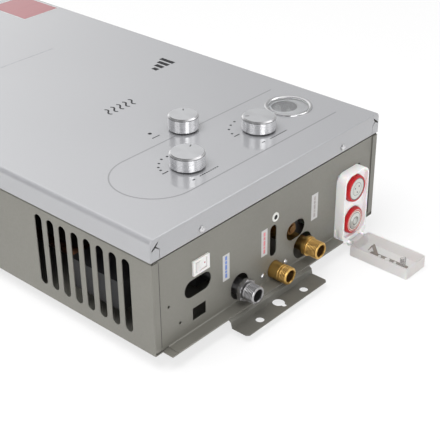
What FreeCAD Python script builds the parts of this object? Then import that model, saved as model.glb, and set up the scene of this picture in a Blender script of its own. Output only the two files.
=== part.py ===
import FreeCAD, Part
import math
import os
import types
import Sketcher

# A wall-hung gas water heater, lying on its back with its front cover up.
# X runs across the heater, Y from the pipe end to the flue end, and Z out of the front cover.
# The origin lies on the wall plane, on the line of the lower bracket's two round screw holes,
# under the middle of the cover. All sizes are in millimetres.

doc = FreeCAD.newDocument("water_heater")
sheet = doc.addObject("Spreadsheet::Sheet", "dims")
sheet.set("A1", "size or place")
sheet.set("B1", "value")
sheet_rows = [1]
pieces = {}


class Size:
    """A number together with the sheet expression that it comes from."""

    def __init__(self, value, text):
        self.value = float(value)
        self.text = text

    def __add__(self, other):
        other = as_size(other)
        return Size(self.value + other.value, f"({self.text} + {other.text})")

    def __sub__(self, other):
        other = as_size(other)
        return Size(self.value - other.value, f"({self.text} - {other.text})")

    def __mul__(self, other):
        other = as_size(other)
        return Size(self.value * other.value, f"({self.text} * {other.text})")

    def __truediv__(self, other):
        other = as_size(other)
        return Size(self.value / other.value, f"({self.text} / {other.text})")

    def __neg__(self):
        return Size(-self.value, f"(0 - {self.text})")

    __radd__ = __add__
    __rmul__ = __mul__

    def __rsub__(self, other):
        return as_size(other) - self


def as_size(number):
    """A plain number, made fit to be added to a size."""
    return number if isinstance(number, Size) else Size(number, f"({number:g})")


def sizes(prefix, **values):
    """Puts one row in the sheet for each value and hands back the bound sizes."""
    bound = {}
    for word, value in values.items():
        sheet_rows[0] += 1
        row = sheet_rows[0]
        alias = f"{prefix}_{word}"
        sheet.set(f"A{row}", alias.replace("_", " "))
        sheet.set(f"B{row}", f"{value:g}")
        sheet.setAlias(f"B{row}", alias)
        bound[word] = Size(value, f"dims.{alias}")
    return types.SimpleNamespace(**bound)


def bind(thing, property_path, size):
    """Ties one property to the sheet."""
    thing.setExpression(property_path, as_size(size).text)


def keep(name, thing):
    """Names a finished piece, which becomes one file."""
    thing.Label = name
    pieces[name] = thing
    return thing


def new_body(name):
    """An empty body for one piece."""
    return keep(name, doc.addObject("PartDesign::Body", name))


SQUARE_TO = {"x": "YZ_Plane", "y": "XZ_Plane", "z": "XY_Plane"}


def sketch_at(body, axis, level):
    """A sketch square to an axis at a level: it shows Y and Z, X and Z, or X and Y."""
    sketch = body.newObject("Sketcher::SketchObject", "outline")
    plane = next(f for f in body.Origin.OriginFeatures if f.Role == SQUARE_TO[axis])
    sketch.AttachmentSupport = [(plane, "")]
    sketch.MapMode = "FlatFace"
    level = as_size(level)
    bind(sketch, "AttachmentOffset.Base.z", -level if axis == "y" else level)
    return sketch


def fix(sketch, shape, point, x, y):
    """Ties a point of a sketch to its two distances from the origin."""
    for kind, size in (("DistanceX", as_size(x)), ("DistanceY", as_size(y))):
        row = sketch.addConstraint(Sketcher.Constraint(kind, -1, 1, shape, point, size.value))
        bind(sketch, f"Constraints[{row}]", size)


def fix_radius(sketch, shape, radius):
    """Ties the radius of an arc or circle."""
    radius = as_size(radius)
    row = sketch.addConstraint(Sketcher.Constraint("Radius", shape, radius.value))
    bind(sketch, f"Constraints[{row}]", radius)


def arc_of(centre, radius, start, finish):
    """An arc that runs anticlockwise from one angle to another."""
    circle = Part.Circle(centre, FreeCAD.Vector(0, 0, 1), radius)
    if finish < start:
        finish += 2 * math.pi
    return Part.ArcOfCircle(circle, start, finish)


def outline(sketch, points, bends=None):
    """A closed outline. Bends give a side's radius, and 1 for a left turn or -1 for a right one."""
    bends = bends or {}
    spots = [FreeCAD.Vector(as_size(x).value, as_size(y).value, 0) for x, y in points]
    sides = []
    for number, here in enumerate(spots):
        there = spots[(number + 1) % len(spots)]
        if number not in bends:
            line = sketch.addGeometry(Part.LineSegment(here, there), False)
            sides.append((line, 1, 2))
            continue
        radius, turn = bends[number]
        radius = as_size(radius)
        chord = there - here
        rise = math.sqrt(max(radius.value ** 2 - chord.Length ** 2 / 4, 0))
        across = FreeCAD.Vector(-chord.y, chord.x, 0).normalize()
        centre = (here + there) * 0.5 + across * (rise * turn)
        first, last = (here, there) if turn > 0 else (there, here)
        start = math.atan2(first.y - centre.y, first.x - centre.x)
        finish = math.atan2(last.y - centre.y, last.x - centre.x)
        arc = sketch.addGeometry(arc_of(centre, radius.value, start, finish), False)
        fix_radius(sketch, arc, radius)
        sides.append((arc, 1, 2) if turn > 0 else (arc, 2, 1))
    for number, (shape, start, _) in enumerate(sides):
        before, _, finish = sides[number - 1]
        sketch.addConstraint(Sketcher.Constraint("Coincident", before, finish, shape, start))
        fix(sketch, shape, start, *points[number])


def rectangle(sketch, left, low, right, high, radius=0, rounded=(True, True, True, True)):
    """A rectangle with rounded corners, counted from the lower left one anticlockwise."""
    points, bends = [], {}
    corners = ((left, low, 0, 1, 1, 0), (right, low, -1, 0, 0, 1),
               (right, high, 0, -1, -1, 0), (left, high, 1, 0, 0, -1))
    for (x, y, in_x, in_y, out_x, out_y), is_round in zip(corners, rounded):
        x, y, bend = as_size(x), as_size(y), as_size(radius)
        if bend.value == 0 or not is_round:
            points.append((x, y))
            continue
        bends[len(points)] = (bend, 1)
        points.append((x + bend * in_x, y + bend * in_y))
        points.append((x + bend * out_x, y + bend * out_y))
    outline(sketch, points, bends)


def circle(sketch, x, y, radius):
    """A round hole or disc."""
    spot = FreeCAD.Vector(as_size(x).value, as_size(y).value, 0)
    shape = Part.Circle(spot, FreeCAD.Vector(0, 0, 1), as_size(radius).value)
    ring = sketch.addGeometry(shape, False)
    fix(sketch, ring, 3, x, y)
    fix_radius(sketch, ring, radius)


def slot(sketch, x, y, length, width, upright=False):
    """A slot with round ends, about its middle."""
    radius = as_size(width) / 2
    half = (as_size(length) - width) / 2
    turned_by = math.pi / 2 if upright else 0
    shift_x, shift_y = (0, half) if upright else (half, 0)
    centres = ((x + shift_x, y + shift_y), (x - shift_x, y - shift_y))
    arcs, lines = [], []
    for number, (cx, cy) in enumerate(centres):
        middle = FreeCAD.Vector(as_size(cx).value, as_size(cy).value, 0)
        start = turned_by - math.pi / 2 + math.pi * number
        arc = arc_of(middle, radius.value, start, start + math.pi)
        arcs.append(sketch.addGeometry(arc, False))
    for here, there in (arcs, arcs[::-1]):
        ends = Part.LineSegment(sketch.Geometry[here].EndPoint, sketch.Geometry[there].StartPoint)
        line = sketch.addGeometry(ends, False)
        sketch.addConstraint(Sketcher.Constraint("Tangent", here, 2, line, 1))
        sketch.addConstraint(Sketcher.Constraint("Tangent", line, 2, there, 1))
        lines.append(line)
    for arc, (cx, cy) in zip(arcs, centres):
        fix(sketch, arc, 3, cx, cy)
    sketch.addConstraint(Sketcher.Constraint("Equal", arcs[0], arcs[1]))
    fix_radius(sketch, arcs[0], radius)


def pad(body, axis, sketch, length):
    """Grows a sketch towards +X, +Y or +Z."""
    feature = body.newObject("PartDesign::Pad", "pad")
    feature.Profile = sketch
    feature.Reversed = axis == "y"
    bind(feature, "Length", length)
    doc.recompute([body])
    return feature


def cut(body, sketch, depth):
    """Cuts from a sketch towards -X, +Y or -Z, and makes sure that something goes."""
    before = body.Shape.Volume
    feature = body.newObject("PartDesign::Pocket", "cut")
    feature.Profile = sketch
    bind(feature, "Length", depth)
    doc.recompute([body])
    if body.Shape.Volume > before - 0.01:
        raise RuntimeError(f"a cut in {body.Label} removes nothing")
    return feature


def edges_of(feature, test):
    """The names of a feature's edges that pass a test."""
    return [f"Edge{n}" for n, edge in enumerate(feature.Shape.Edges, 1) if test(edge)]


def round_edges(body, feature, test, radius, kind="PartDesign::Fillet"):
    """Rounds or bevels the edges that pass a test."""
    names = edges_of(feature, test)
    if not names:
        raise RuntimeError(f"no edge to round in {body.Label}")
    rounding = body.newObject(kind, "edge")
    rounding.Base = (feature, names)
    bind(rounding, "Radius" if kind.endswith("Fillet") else "Size", radius)
    doc.recompute([body])
    return rounding


def place(thing, x, y, z, about=None, angle=0):
    """Sets a piece's place, turned by an angle about an axis first."""
    if about:
        thing.Placement = FreeCAD.Placement(FreeCAD.Vector(), FreeCAD.Rotation(about, angle))
    for word, size in (("x", x), ("y", y), ("z", z)):
        bind(thing, f"Placement.Base.{word}", size)


ALONG_X = (FreeCAD.Vector(0, 1, 0), 90)
ALONG_Y = (FreeCAD.Vector(1, 0, 0), -90)
OUT_OF_PIPE_END = (FreeCAD.Vector(1, 0, 0), 90)


def turned(name, profile, x, y, z, facing=(None, 0)):
    """A lathe-turned piece: its profile gives radius and height, and it faces +Z unless told."""
    body = new_body(name)
    sketch = sketch_at(body, "y", 0)
    outline(sketch, profile)
    feature = body.newObject("PartDesign::Revolution", "turning")
    feature.Profile = sketch
    feature.ReferenceAxis = (sketch, ["V_Axis"])
    feature.Angle = 360
    place(body, x, y, z, *facing)
    doc.recompute([body])
    return body


def block(name, low, wide, length, deep):
    """A plain box from its lowest corner."""
    box = doc.addObject("Part::Box", name)
    bind(box, "Length", wide)
    bind(box, "Width", length)
    bind(box, "Height", deep)
    place(box, *low)
    return box


def rod(name, start, radius, length, facing=(None, 0)):
    """A plain round bar from the middle of its first end."""
    bar = doc.addObject("Part::Cylinder", name)
    bind(bar, "Radius", radius)
    bind(bar, "Height", length)
    place(bar, *start, *facing)
    return bar


def joined(name, parts):
    """Several shapes made into one solid."""
    fusion = doc.addObject("Part::MultiFuse", name)
    fusion.Shapes = parts
    fusion.Refine = True
    return fusion


def drilled(name, base, tools):
    """A shape with others taken out of it."""
    tool = tools[0] if len(tools) == 1 else joined(name + "_tools", tools)
    difference = doc.addObject("Part::Cut", name)
    difference.Base = base
    difference.Tool = tool
    difference.Refine = True
    return difference


def group(name, parts):
    """Like pieces that share one file, each still its own solid."""
    together = doc.addObject("Part::Compound", name)
    together.Links = parts
    return keep(name, together)


# Main sizes of the casing. Places are measured from the cover's left edge, from the cover's
# edge at the pipe end, and from the outer face of the back panel.
cover = sizes("cover", width=390, length=670, sheet=0.8, lip=25.7, side_bend=6, end_bend=1.5)
case = sizes("case", depth=141, sheet=1, inset=1.2, wall_gap=10, screw_line=31,
             joggle=1.6, joggle_rise=2.4, joggle_level=112, rim_level=136, bend=0.9,
             step=4.2, step_rise=0.8, step_level=112.8)

left_edge = -cover.width / 2
right_edge = cover.width / 2
pipe_end = case.screw_line
flue_end = case.screw_line + cover.length
back = case.wall_gap
cover_top = case.wall_gap + case.depth


def across(size):
    """A place measured from the cover's left edge."""
    return left_edge + size


def along(size):
    """A place measured from the cover's edge at the pipe end."""
    return pipe_end + size


def up(size):
    """A height measured from the outer face of the back panel."""
    return back + size


# Places that more than one piece needs: knobs, window, cover screws and pipe connections.
knob_places = {
    "gas": sizes("gas_knob", across=138, along=79, radius=20, height=17, mark_angle=28),
    "water": sizes("water_knob", across=259, along=79, radius=20, height=16.5, mark_angle=138),
    "season": sizes("season_knob", across=202.5, along=146, radius=18, height=18, mark_angle=43),
}
window = sizes("window", across=331, along=92.5, bezel_radius=29.4, hole_radius=25.6)
cover_screw = sizes("cover_screw", first=74, second=317, level=121.5, hole_radius=1.9,
                    head_radius=3.2, head_height=2, shank_radius=1.5, shank_length=8,
                    pad_radius=7, pad_gap=0.1)
cover_screw_places = (cover_screw.first, cover_screw.second)

# Front cover: a folded tray. Its end lips overlap the side lips' corner tabs, with an open
# seam and a relief slit at each corner.
relief = sizes("relief", seam=12.8, seam_width=0.6, seam_top=127, near=2.2, near_level=129,
               far=11.4, far_level=136.4, width=2, branch=7.6, branch_level=131.2)
knob_hole = sizes("knob_hole", radius=8)
front_cover = new_body("front_cover")
sketch = sketch_at(front_cover, "y", pipe_end)
lip_edge = cover_top - cover.lip
rectangle(sketch, left_edge, lip_edge, right_edge, cover_top, cover.side_bend,
          (False, False, True, True))
tray = pad(front_cover, "y", sketch, cover.length)
bend_start = (cover_top - cover.side_bend).value - 0.01


def is_end_fold(edge):
    """Tells the fold lines between the cover's top and its two end lips."""
    box = edge.BoundBox
    return box.YLength < 0.01 and box.ZMin > bend_start


round_edges(front_cover, tray, is_end_fold, cover.end_bend)
sketch = sketch_at(front_cover, "y", pipe_end + cover.sheet)
rectangle(sketch, left_edge + cover.sheet, lip_edge - 1, right_edge - cover.sheet,
          cover_top - cover.sheet, cover.side_bend - cover.sheet, (False, False, True, True))
cut(front_cover, sketch, cover.length - cover.sheet * 2)
sketch = sketch_at(front_cover, "z", cover_top + 1)
for knob in knob_places.values():
    circle(sketch, across(knob.across), along(knob.along), knob_hole.radius)
circle(sketch, across(window.across), along(window.along), window.hole_radius)
cut(front_cover, sketch, cover.sheet + 2)
for level in (pipe_end - 1, flue_end - cover.sheet - 1):
    sketch = sketch_at(front_cover, "y", level)
    for place_across in cover_screw_places:
        circle(sketch, across(place_across), up(cover_screw.level), cover_screw.hole_radius)
    cut(front_cover, sketch, cover.sheet + 2)
    for side in (1, -1):
        corner = left_edge if side == 1 else right_edge
        sketch = sketch_at(front_cover, "y", level)
        seam_near = corner + relief.seam * side
        seam_far = corner + (relief.seam + relief.seam_width) * side
        outline(sketch, [
            (seam_near, lip_edge - 1), (seam_far, lip_edge - 1), (seam_far, up(relief.seam_top)),
            (corner + (relief.branch + 1) * side, up(relief.branch_level)),
            (corner + relief.far * side, up(relief.far_level - relief.width)),
            (corner + relief.far * side, up(relief.far_level)),
            (corner + relief.near * side, up(relief.near_level)),
            (corner + relief.near * side, up(relief.near_level - relief.width)),
            (corner + relief.branch * side, up(relief.branch_level - 1)),
            (seam_near, up(relief.seam_top - 0.4))])
        cut(front_cover, sketch, cover.sheet + 1.2)

# Side panels: each a folded sheet with a return flange at both ends, a joggle that tucks
# under the cover's lip, and a row of eight air slots.
vent = sizes("vent", first=37.8, pitch=19.4, count=8, length=89.5, width=11.5, base=14.9)
flange = sizes("flange", width=9.8, base=4.5)
rim_notch = sizes("rim_notch", length=1.4)
for name, side, corner in (("left_side_panel", 1, left_edge), ("right_side_panel", -1, right_edge)):
    panel = new_body(name)
    outer = corner + case.inset * side
    inner = outer + case.sheet * side
    top_outer = outer + case.joggle * side
    top_inner = inner + case.joggle * side
    fold = case.joggle_level
    fold_end = case.joggle_level + case.joggle_rise
    sketch = sketch_at(panel, "y", pipe_end)
    outline(sketch, [(outer, back), (outer, up(fold)), (top_outer, up(fold_end)),
                     (top_outer, up(case.rim_level)), (top_inner, up(case.rim_level)),
                     (top_inner, up(fold_end - 0.4)), (inner, up(fold - 0.4)), (inner, back)])
    pad(panel, "y", sketch, cover.length)
    for level in (pipe_end, flue_end - case.sheet):
        sketch = sketch_at(panel, "y", level)
        flange_edge = outer + flange.width * side
        low_x, high_x = (outer, flange_edge) if side == 1 else (flange_edge, outer)
        rectangle(sketch, low_x, up(flange.base), high_x, up(fold))
        wall = pad(panel, "y", sketch, case.sheet)
    outer_x = outer.value

    def is_corner(edge):
        """Tells the two upright edges at the panel's ends."""
        box = edge.BoundBox
        return abs(box.XMin - outer_x) < 0.01 and box.XLength < 0.01 and box.YLength < 0.01 \
            and box.ZLength > 50

    round_edges(panel, wall, is_corner, case.bend)
    sketch = sketch_at(panel, "z", up(case.rim_level + 1))
    low_x, high_x = (outer - 1, flange_edge) if side == 1 else (flange_edge, outer + 1)
    for low_y, high_y in ((pipe_end - 1, pipe_end + rim_notch.length),
                          (flue_end - rim_notch.length, flue_end + 1)):
        rectangle(sketch, low_x, low_y, high_x, high_y)
    cut(panel, sketch, case.rim_level - case.joggle_level + 1)
    level = outer + case.sheet + 1 if side == 1 else outer + 1
    sketch = sketch_at(panel, "x", level)
    slot(sketch, along(vent.first), up(vent.base + vent.length / 2), vent.length, vent.width, True)
    first_vent = cut(panel, sketch, case.sheet + 2)
    row = panel.newObject("PartDesign::LinearPattern", "vent_row")
    row.Originals = [first_vent]
    row.Direction = (next(f for f in panel.Origin.OriginFeatures if f.Role == "Y_Axis"), [""])
    bind(row, "Length", vent.pitch * (vent.count - 1))
    row.Occurrences = int(vent.count.value)
    panel.Tip = row
    doc.recompute([panel])

# Back panel: a flat sheet whose edge at the pipe end reaches out as a foot.
foot = sizes("foot", reach=14.2, corner=12, start=21, finish=309, bend=1.5)
rivet = sizes("rivet", hole_radius=2.1, shank_radius=2, head_radius=3.6, head_height=0.8,
              inset=15, line=8)
bracket = sizes("bracket", start=100, width=142, sheet=1.2, lap=25, web_foot=19, reach=41,
                corner=3, hole_radius=5, hole_spacing=78, key_radius=7.2, key_line=25.6,
                key_slot=3, key_end=33.5, knee=17.4, knee_drop=2)
back_panel = new_body("back_panel")
side_gap = case.inset + case.sheet + 0.2
sketch = sketch_at(back_panel, "z", back)
outline(sketch, [(left_edge + side_gap, pipe_end), (across(foot.corner), pipe_end),
                 (across(foot.corner), pipe_end - foot.reach),
                 (across(foot.finish), pipe_end - foot.reach), (across(foot.finish), pipe_end),
                 (right_edge - side_gap, pipe_end), (right_edge - side_gap, flue_end),
                 (left_edge + side_gap, flue_end)])
pad(back_panel, "z", sketch, case.sheet)
rivet_spots = [(across(bracket.start + place_in), place_along)
               for place_along in (pipe_end + rivet.line, flue_end - rivet.line)
               for place_in in (rivet.inset, bracket.width - rivet.inset)]
sketch = sketch_at(back_panel, "z", up(case.sheet + 1))
for spot in rivet_spots:
    circle(sketch, *spot, rivet.hole_radius)
cut(back_panel, sketch, case.sheet + 2)

# Bottom panel: an end sheet whose lower edge bends out into a foot. It carries every pipe,
# switch, battery and cable cut-out.
gas_pipe = sizes("gas_pipe", across=134.7, level=19, reach=26, slot_level=19.8,
                 slot_height=32, slot_width=29)
hot_pipe_end = sizes("hot_pipe_end", across=194.4, level=13, reach=23.5, hole_radius=10.9,
                     screw_spacing=40, screw_hole=2.1)
cold_pipe_end = sizes("cold_pipe_end", across=247.4, level=22.5, reach=26, slot_level=20.2,
                      slot_height=32.8, slot_width=34.8)
switch = sizes("switch", across=72, level=79.6, cut_width=22, cut_height=14.8)
cable_port = sizes("cable_port", across=68.1, level=55.5, width=40.8, height=21)
socket_port = sizes("socket_port", across=69.4, level=22, width=20.5, height=15.4)
pilot_hole = sizes("pilot_hole", first_across=23.8, first_level=50.8, second_across=39.8,
                   second_level=22.2, radius=1.7)
narrow_slot = sizes("narrow_slot", across=192.4, level=51.9, width=11.3, height=39.9)
drain_slot = sizes("drain_slot", across=233.3, level=47.5, width=33.2, height=23.4)
grommet = sizes("grommet", across=195.5, level=81.3, hole_radius=4.2)
battery = sizes("battery", across=334, width=48, top=87, floor=1.1, reach=12, body_inset=1.5,
                depth=58, bend=12, cell_radius=17.1, cell_length=61.5, cell_front=13,
                lower_level=19.5, upper_level=63.5, bore_radius=17.6, bore_depth=56)

bottom_panel = new_body("bottom_panel")
face = pipe_end + case.sheet
inner = face + case.sheet
fold = up(case.step_level)
fold_end = up(case.step_level + case.step_rise)
foot_top = up(case.sheet * 2)
bend_top = foot_top + foot.bend
foot_tip = pipe_end - foot.reach
end_gap = case.inset + case.sheet + case.joggle + 0.2
sketch = sketch_at(bottom_panel, "x", left_edge + end_gap)
outline(sketch, [(foot_tip, up(case.sheet)), (face - foot.bend, up(case.sheet)),
                 (inner, bend_top), (inner, fold - case.sheet), (inner + case.step, fold_end - case.sheet),
                 (inner + case.step, up(case.rim_level)),
                 (face + case.step, up(case.rim_level)), (face + case.step, fold_end),
                 (face, fold), (face, bend_top), (face - foot.bend, foot_top),
                 (foot_tip, foot_top)],
        {1: (foot.bend + case.sheet, 1), 9: (foot.bend, -1)})
pad(bottom_panel, "x", sketch, cover.width - end_gap * 2)
sketch = sketch_at(bottom_panel, "z", bend_top)
for low_x, high_x in ((left_edge, across(foot.start)), (across(foot.finish), right_edge)):
    rectangle(sketch, low_x, foot_tip - 1, high_x, face)
cut(bottom_panel, sketch, bend_top - back + 1)
sketch = sketch_at(bottom_panel, "y", pipe_end + cover.sheet + cover_screw.pad_gap)
for place_across in cover_screw_places:
    circle(sketch, across(place_across), up(cover_screw.level), cover_screw.pad_radius)
pad(bottom_panel, "y", sketch, case.sheet + case.step - cover.sheet + 0.2)

sketch = sketch_at(bottom_panel, "y", face - foot.bend - 1)
slot(sketch, across(gas_pipe.across), up(gas_pipe.slot_level), gas_pipe.slot_height,
     gas_pipe.slot_width, True)
circle(sketch, across(hot_pipe_end.across), up(hot_pipe_end.level), hot_pipe_end.hole_radius)
for side in (-1, 1):
    circle(sketch, across(hot_pipe_end.across + hot_pipe_end.screw_spacing / 2 * side),
           up(hot_pipe_end.level), hot_pipe_end.screw_hole)
slot(sketch, across(cold_pipe_end.across), up(cold_pipe_end.slot_level),
     cold_pipe_end.slot_width, cold_pipe_end.slot_height)
rectangle(sketch, across(switch.across - switch.cut_width / 2),
          up(switch.level - switch.cut_height / 2),
          across(switch.across + switch.cut_width / 2),
          up(switch.level + switch.cut_height / 2))
slot(sketch, across(cable_port.across), up(cable_port.level), cable_port.width,
     cable_port.height)
rectangle(sketch, across(socket_port.across - socket_port.width / 2),
          up(socket_port.level - socket_port.height / 2),
          across(socket_port.across + socket_port.width / 2),
          up(socket_port.level + socket_port.height / 2))
circle(sketch, across(pilot_hole.first_across), up(pilot_hole.first_level), pilot_hole.radius)
circle(sketch, across(pilot_hole.second_across), up(pilot_hole.second_level), pilot_hole.radius)
slot(sketch, across(narrow_slot.across), up(narrow_slot.level), narrow_slot.height,
     narrow_slot.width, True)
slot(sketch, across(drain_slot.across), up(drain_slot.level), drain_slot.width,
     drain_slot.height)
circle(sketch, across(grommet.across), up(grommet.level), grommet.hole_radius)
for place_across in cover_screw_places:
    circle(sketch, across(place_across), up(cover_screw.level), cover_screw.shank_radius + 0.1)
cut(bottom_panel, sketch, foot.bend + case.sheet + case.step + 2)
sketch = sketch_at(bottom_panel, "y", face - foot.bend - 1)
half_bay = battery.width / 2 - battery.body_inset + 0.3
rectangle(sketch, across(battery.across - half_bay), back - 1,
          across(battery.across + half_bay), up(battery.top - battery.body_inset + 0.3))
cut(bottom_panel, sketch, foot.bend + case.sheet + 2)

# Top panel: the end sheet at the flue end, with the flue opening.
flue = sizes("flue", level=57, radius=50, sheet=1, height=45, flange_radius=54, hole_gap=0.5,
             bead=2)
top_panel = new_body("top_panel")
face = flue_end - case.sheet
inner = face - case.sheet
sketch = sketch_at(top_panel, "x", left_edge + end_gap)
outline(sketch, [(face, up(case.sheet)), (face, fold), (face - case.step, fold_end),
                 (face - case.step, up(case.rim_level)),
                 (inner - case.step, up(case.rim_level)),
                 (inner - case.step, fold_end - case.sheet), (inner, fold - case.sheet),
                 (inner, up(case.sheet))])
pad(top_panel, "x", sketch, cover.width - end_gap * 2)
sketch = sketch_at(top_panel, "y", face - case.step - 0.2)
for place_across in cover_screw_places:
    circle(sketch, across(place_across), up(cover_screw.level), cover_screw.pad_radius)
pad(top_panel, "y", sketch, case.sheet + case.step - cover.sheet + 0.1)
sketch = sketch_at(top_panel, "y", inner - case.step - 1)
circle(sketch, 0, up(flue.level), flue.radius + flue.hole_gap)
for place_across in cover_screw_places:
    circle(sketch, across(place_across), up(cover_screw.level), cover_screw.shank_radius + 0.1)
cut(top_panel, sketch, case.sheet * 2 + case.step + 2)

# Wall brackets: stepped strips riveted under the back panel. The lower one shows its two
# round holes and the keyhole; the upper one is its mirror image at the flue end.
for name, side, end in (("lower_wall_bracket", 1, pipe_end), ("upper_wall_bracket", -1, flue_end)):
    strip = new_body(name)
    sketch = sketch_at(strip, "x", across(bracket.start))
    step_top = end - foot.reach * side
    step_foot = end - bracket.web_foot * side
    tip = end - bracket.reach * side
    root = end + bracket.lap * side
    thick = bracket.sheet
    knee = end - bracket.knee * side
    knee_level = back - bracket.knee_drop
    outline(sketch, [(root, back), (step_top, back), (knee, knee_level), (step_foot, thick),
                     (tip, thick), (tip, 0), (step_foot + 0.9 * side, 0),
                     (knee + 1.1 * side, knee_level - thick * 0.7),
                     (step_top + 0.4 * side, back - thick), (root, back - thick)])
    plate = pad(strip, "x", sketch, bracket.width)
    tip_y = tip.value

    def is_tip_corner(edge):
        """Tells the two upright edges at the bracket's free corners."""
        box = edge.BoundBox
        return abs(box.YMin - tip_y) < 0.01 and box.XLength < 0.01 and box.YLength < 0.01

    round_edges(strip, plate, is_tip_corner, bracket.corner, "PartDesign::Chamfer")
    middle = across(bracket.start + bracket.width / 2)
    sketch = sketch_at(strip, "z", thick + 1)
    for half in (-1, 1):
        circle(sketch, middle + bracket.hole_spacing / 2 * half, end - case.screw_line * side,
               bracket.hole_radius)
    circle(sketch, middle, end - bracket.key_line * side, bracket.key_radius)
    cut(strip, sketch, thick + 2)
    sketch = sketch_at(strip, "z", thick + 1)
    key_length = bracket.key_end - bracket.key_line + bracket.key_slot * 2
    slot(sketch, middle, end - (bracket.key_line + bracket.key_end) / 2 * side, key_length,
         bracket.key_slot * 2, True)
    cut(strip, sketch, thick + 2)
    sketch = sketch_at(strip, "z", back + 1)
    for place_in in (rivet.inset, bracket.width - rivet.inset):
        circle(sketch, across(bracket.start + place_in), end + rivet.line * side,
               rivet.hole_radius)
    cut(strip, sketch, thick + 2)

rivets = []
for spot in rivet_spots:
    low = back - bracket.sheet - rivet.head_height
    stack = bracket.sheet + case.sheet
    rivets.append(joined("rivet", [
        rod("rivet_shank", (*spot, low), rivet.shank_radius, stack + rivet.head_height * 2),
        rod("rivet_head", (*spot, low), rivet.head_radius, rivet.head_height),
        rod("rivet_tail", (*spot, up(case.sheet)), rivet.head_radius, rivet.head_height)]))
group("bracket_rivets", rivets)

# Cover screws: four pan heads, two through each end lip.
screws = []
for face_y, facing in ((pipe_end, OUT_OF_PIPE_END), (flue_end, ALONG_Y)):
    for place_across in cover_screw_places:
        screw = turned("cover_screw", [
            (0, -cover_screw.shank_length), (cover_screw.shank_radius, -cover_screw.shank_length),
            (cover_screw.shank_radius, 0), (cover_screw.head_radius, 0),
            (cover_screw.head_radius, cover_screw.head_height * 0.45),
            (cover_screw.head_radius * 0.7, cover_screw.head_height * 0.9),
            (0, cover_screw.head_height)],
            across(place_across), face_y, up(cover_screw.level), facing)
        pieces.pop("cover_screw")
        screws.append(screw)
group("cover_screws", screws)

# Flue collar and the hood that gathers the burnt gas into it.
collar = turned("flue_collar", [
    (flue.radius - flue.sheet, -3), (flue.radius, -3), (flue.radius, 0), (flue.flange_radius, 0),
    (flue.flange_radius, flue.sheet), (flue.radius, flue.sheet),
    (flue.radius, flue.height - flue.bead), (flue.radius - flue.sheet * 0.6, flue.height),
    (flue.radius - flue.sheet * 2, flue.height),
    (flue.radius - flue.sheet * 2, flue.height - flue.bead),
    (flue.radius - flue.sheet, flue.height - flue.bead)],
    0, face, up(flue.level), ALONG_Y)

# Flame window: a polished ring, a glass, a flat pan behind it whose sight hole lies towards the
# flue end, and a fine screen under the hole.
cup = sizes("cup", rim_radius=24.8, depth=2.6, sheet=0.8, eye_radius=15.8, eye_shift=6.4,
            screen_radius=17.2, screen_sheet=0.8, screen_gap=0.1)
bezel = sizes("bezel", height=1.9, skirt=1.6, inner_radius=24.9, sleeve_radius=25.5)
window_spot = (across(window.across), along(window.along), cover_top)
turned("window_bezel", [
    (bezel.inner_radius, -bezel.skirt), (bezel.sleeve_radius, -bezel.skirt),
    (bezel.sleeve_radius, 0), (window.bezel_radius, 0), (window.bezel_radius, 1.1),
    (window.bezel_radius - 0.8, bezel.height), (bezel.inner_radius + 1.3, bezel.height),
    (bezel.inner_radius, 1.2)], *window_spot)
turned("window_glass", [(0, -0.2), (cup.rim_radius, -0.2), (cup.rim_radius, 1), (0, 1)],
       *window_spot)
window_cup = turned("window_cup", [
    (0, -cup.depth - cup.sheet), (cup.rim_radius, -cup.depth - cup.sheet), (cup.rim_radius, -0.3),
    (cup.rim_radius - cup.sheet, -0.3), (cup.rim_radius - cup.sheet, -cup.depth),
    (0, -cup.depth)], *window_spot)
sketch = sketch_at(window_cup, "z", 0)
circle(sketch, 0, cup.eye_shift, cup.eye_radius)
cut(window_cup, sketch, cup.depth + cup.sheet + 1)
screen_top = -cup.depth - cup.sheet - cup.screen_gap
turned("window_screen", [
    (0, screen_top - cup.screen_sheet), (cup.screen_radius, screen_top - cup.screen_sheet),
    (cup.screen_radius, screen_top), (0, screen_top)],
    across(window.across), along(window.along + cup.eye_shift), cover_top)

# Knobs: a turned cap with a pointer dash, a moulded core pressed into it, and the valve
# spindle that the core grips.
knob_form = sizes("knob_form", gap=1.5, bevel=1.2, wall=1.6, top=2, hub_radius=7, disc=2,
                  spindle_radius=3, spindle_depth=37, grip=4, dash_length=5, dash_width=1.3,
                  dash_depth=0.6, dash_inset=6)
for word, knob in knob_places.items():
    spot = (across(knob.across), along(knob.along), cover_top)
    base = knob_form.gap
    crown = knob_form.gap + knob.height
    ceiling = crown - knob_form.top
    cavity = knob.radius - knob_form.wall
    cap = turned(f"{word}_knob", [
        (0, ceiling), (cavity, ceiling), (cavity, base), (knob.radius, base),
        (knob.radius, crown - knob_form.bevel), (knob.radius - knob_form.bevel, crown),
        (0, crown)], *spot, (FreeCAD.Vector(0, 0, 1), knob.mark_angle.value))
    bind(cap, "Placement.Rotation.Angle", knob.mark_angle)
    sketch = sketch_at(cap, "z", crown + 1)
    slot(sketch, knob.radius - knob_form.dash_inset, as_size(0), knob_form.dash_length,
         knob_form.dash_width)
    cut(cap, sketch, knob_form.dash_depth + 1)
    hub = knob_form.hub_radius
    turned(f"{word}_knob_core", [
        (knob_form.spindle_radius, base - 0.6), (hub, base - 0.6), (hub, base + 1),
        (cavity, base + 1), (cavity, base + 1 + knob_form.disc), (hub, base + 1 + knob_form.disc),
        (hub, ceiling), (0, ceiling), (0, ceiling - knob_form.grip),
        (knob_form.spindle_radius, ceiling - knob_form.grip)], *spot)
    turned(f"{word}_spindle", [
        (0, -knob_form.spindle_depth), (knob_form.spindle_radius, -knob_form.spindle_depth),
        (knob_form.spindle_radius, ceiling - knob_form.grip), (0, ceiling - knob_form.grip)],
        *spot)

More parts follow.
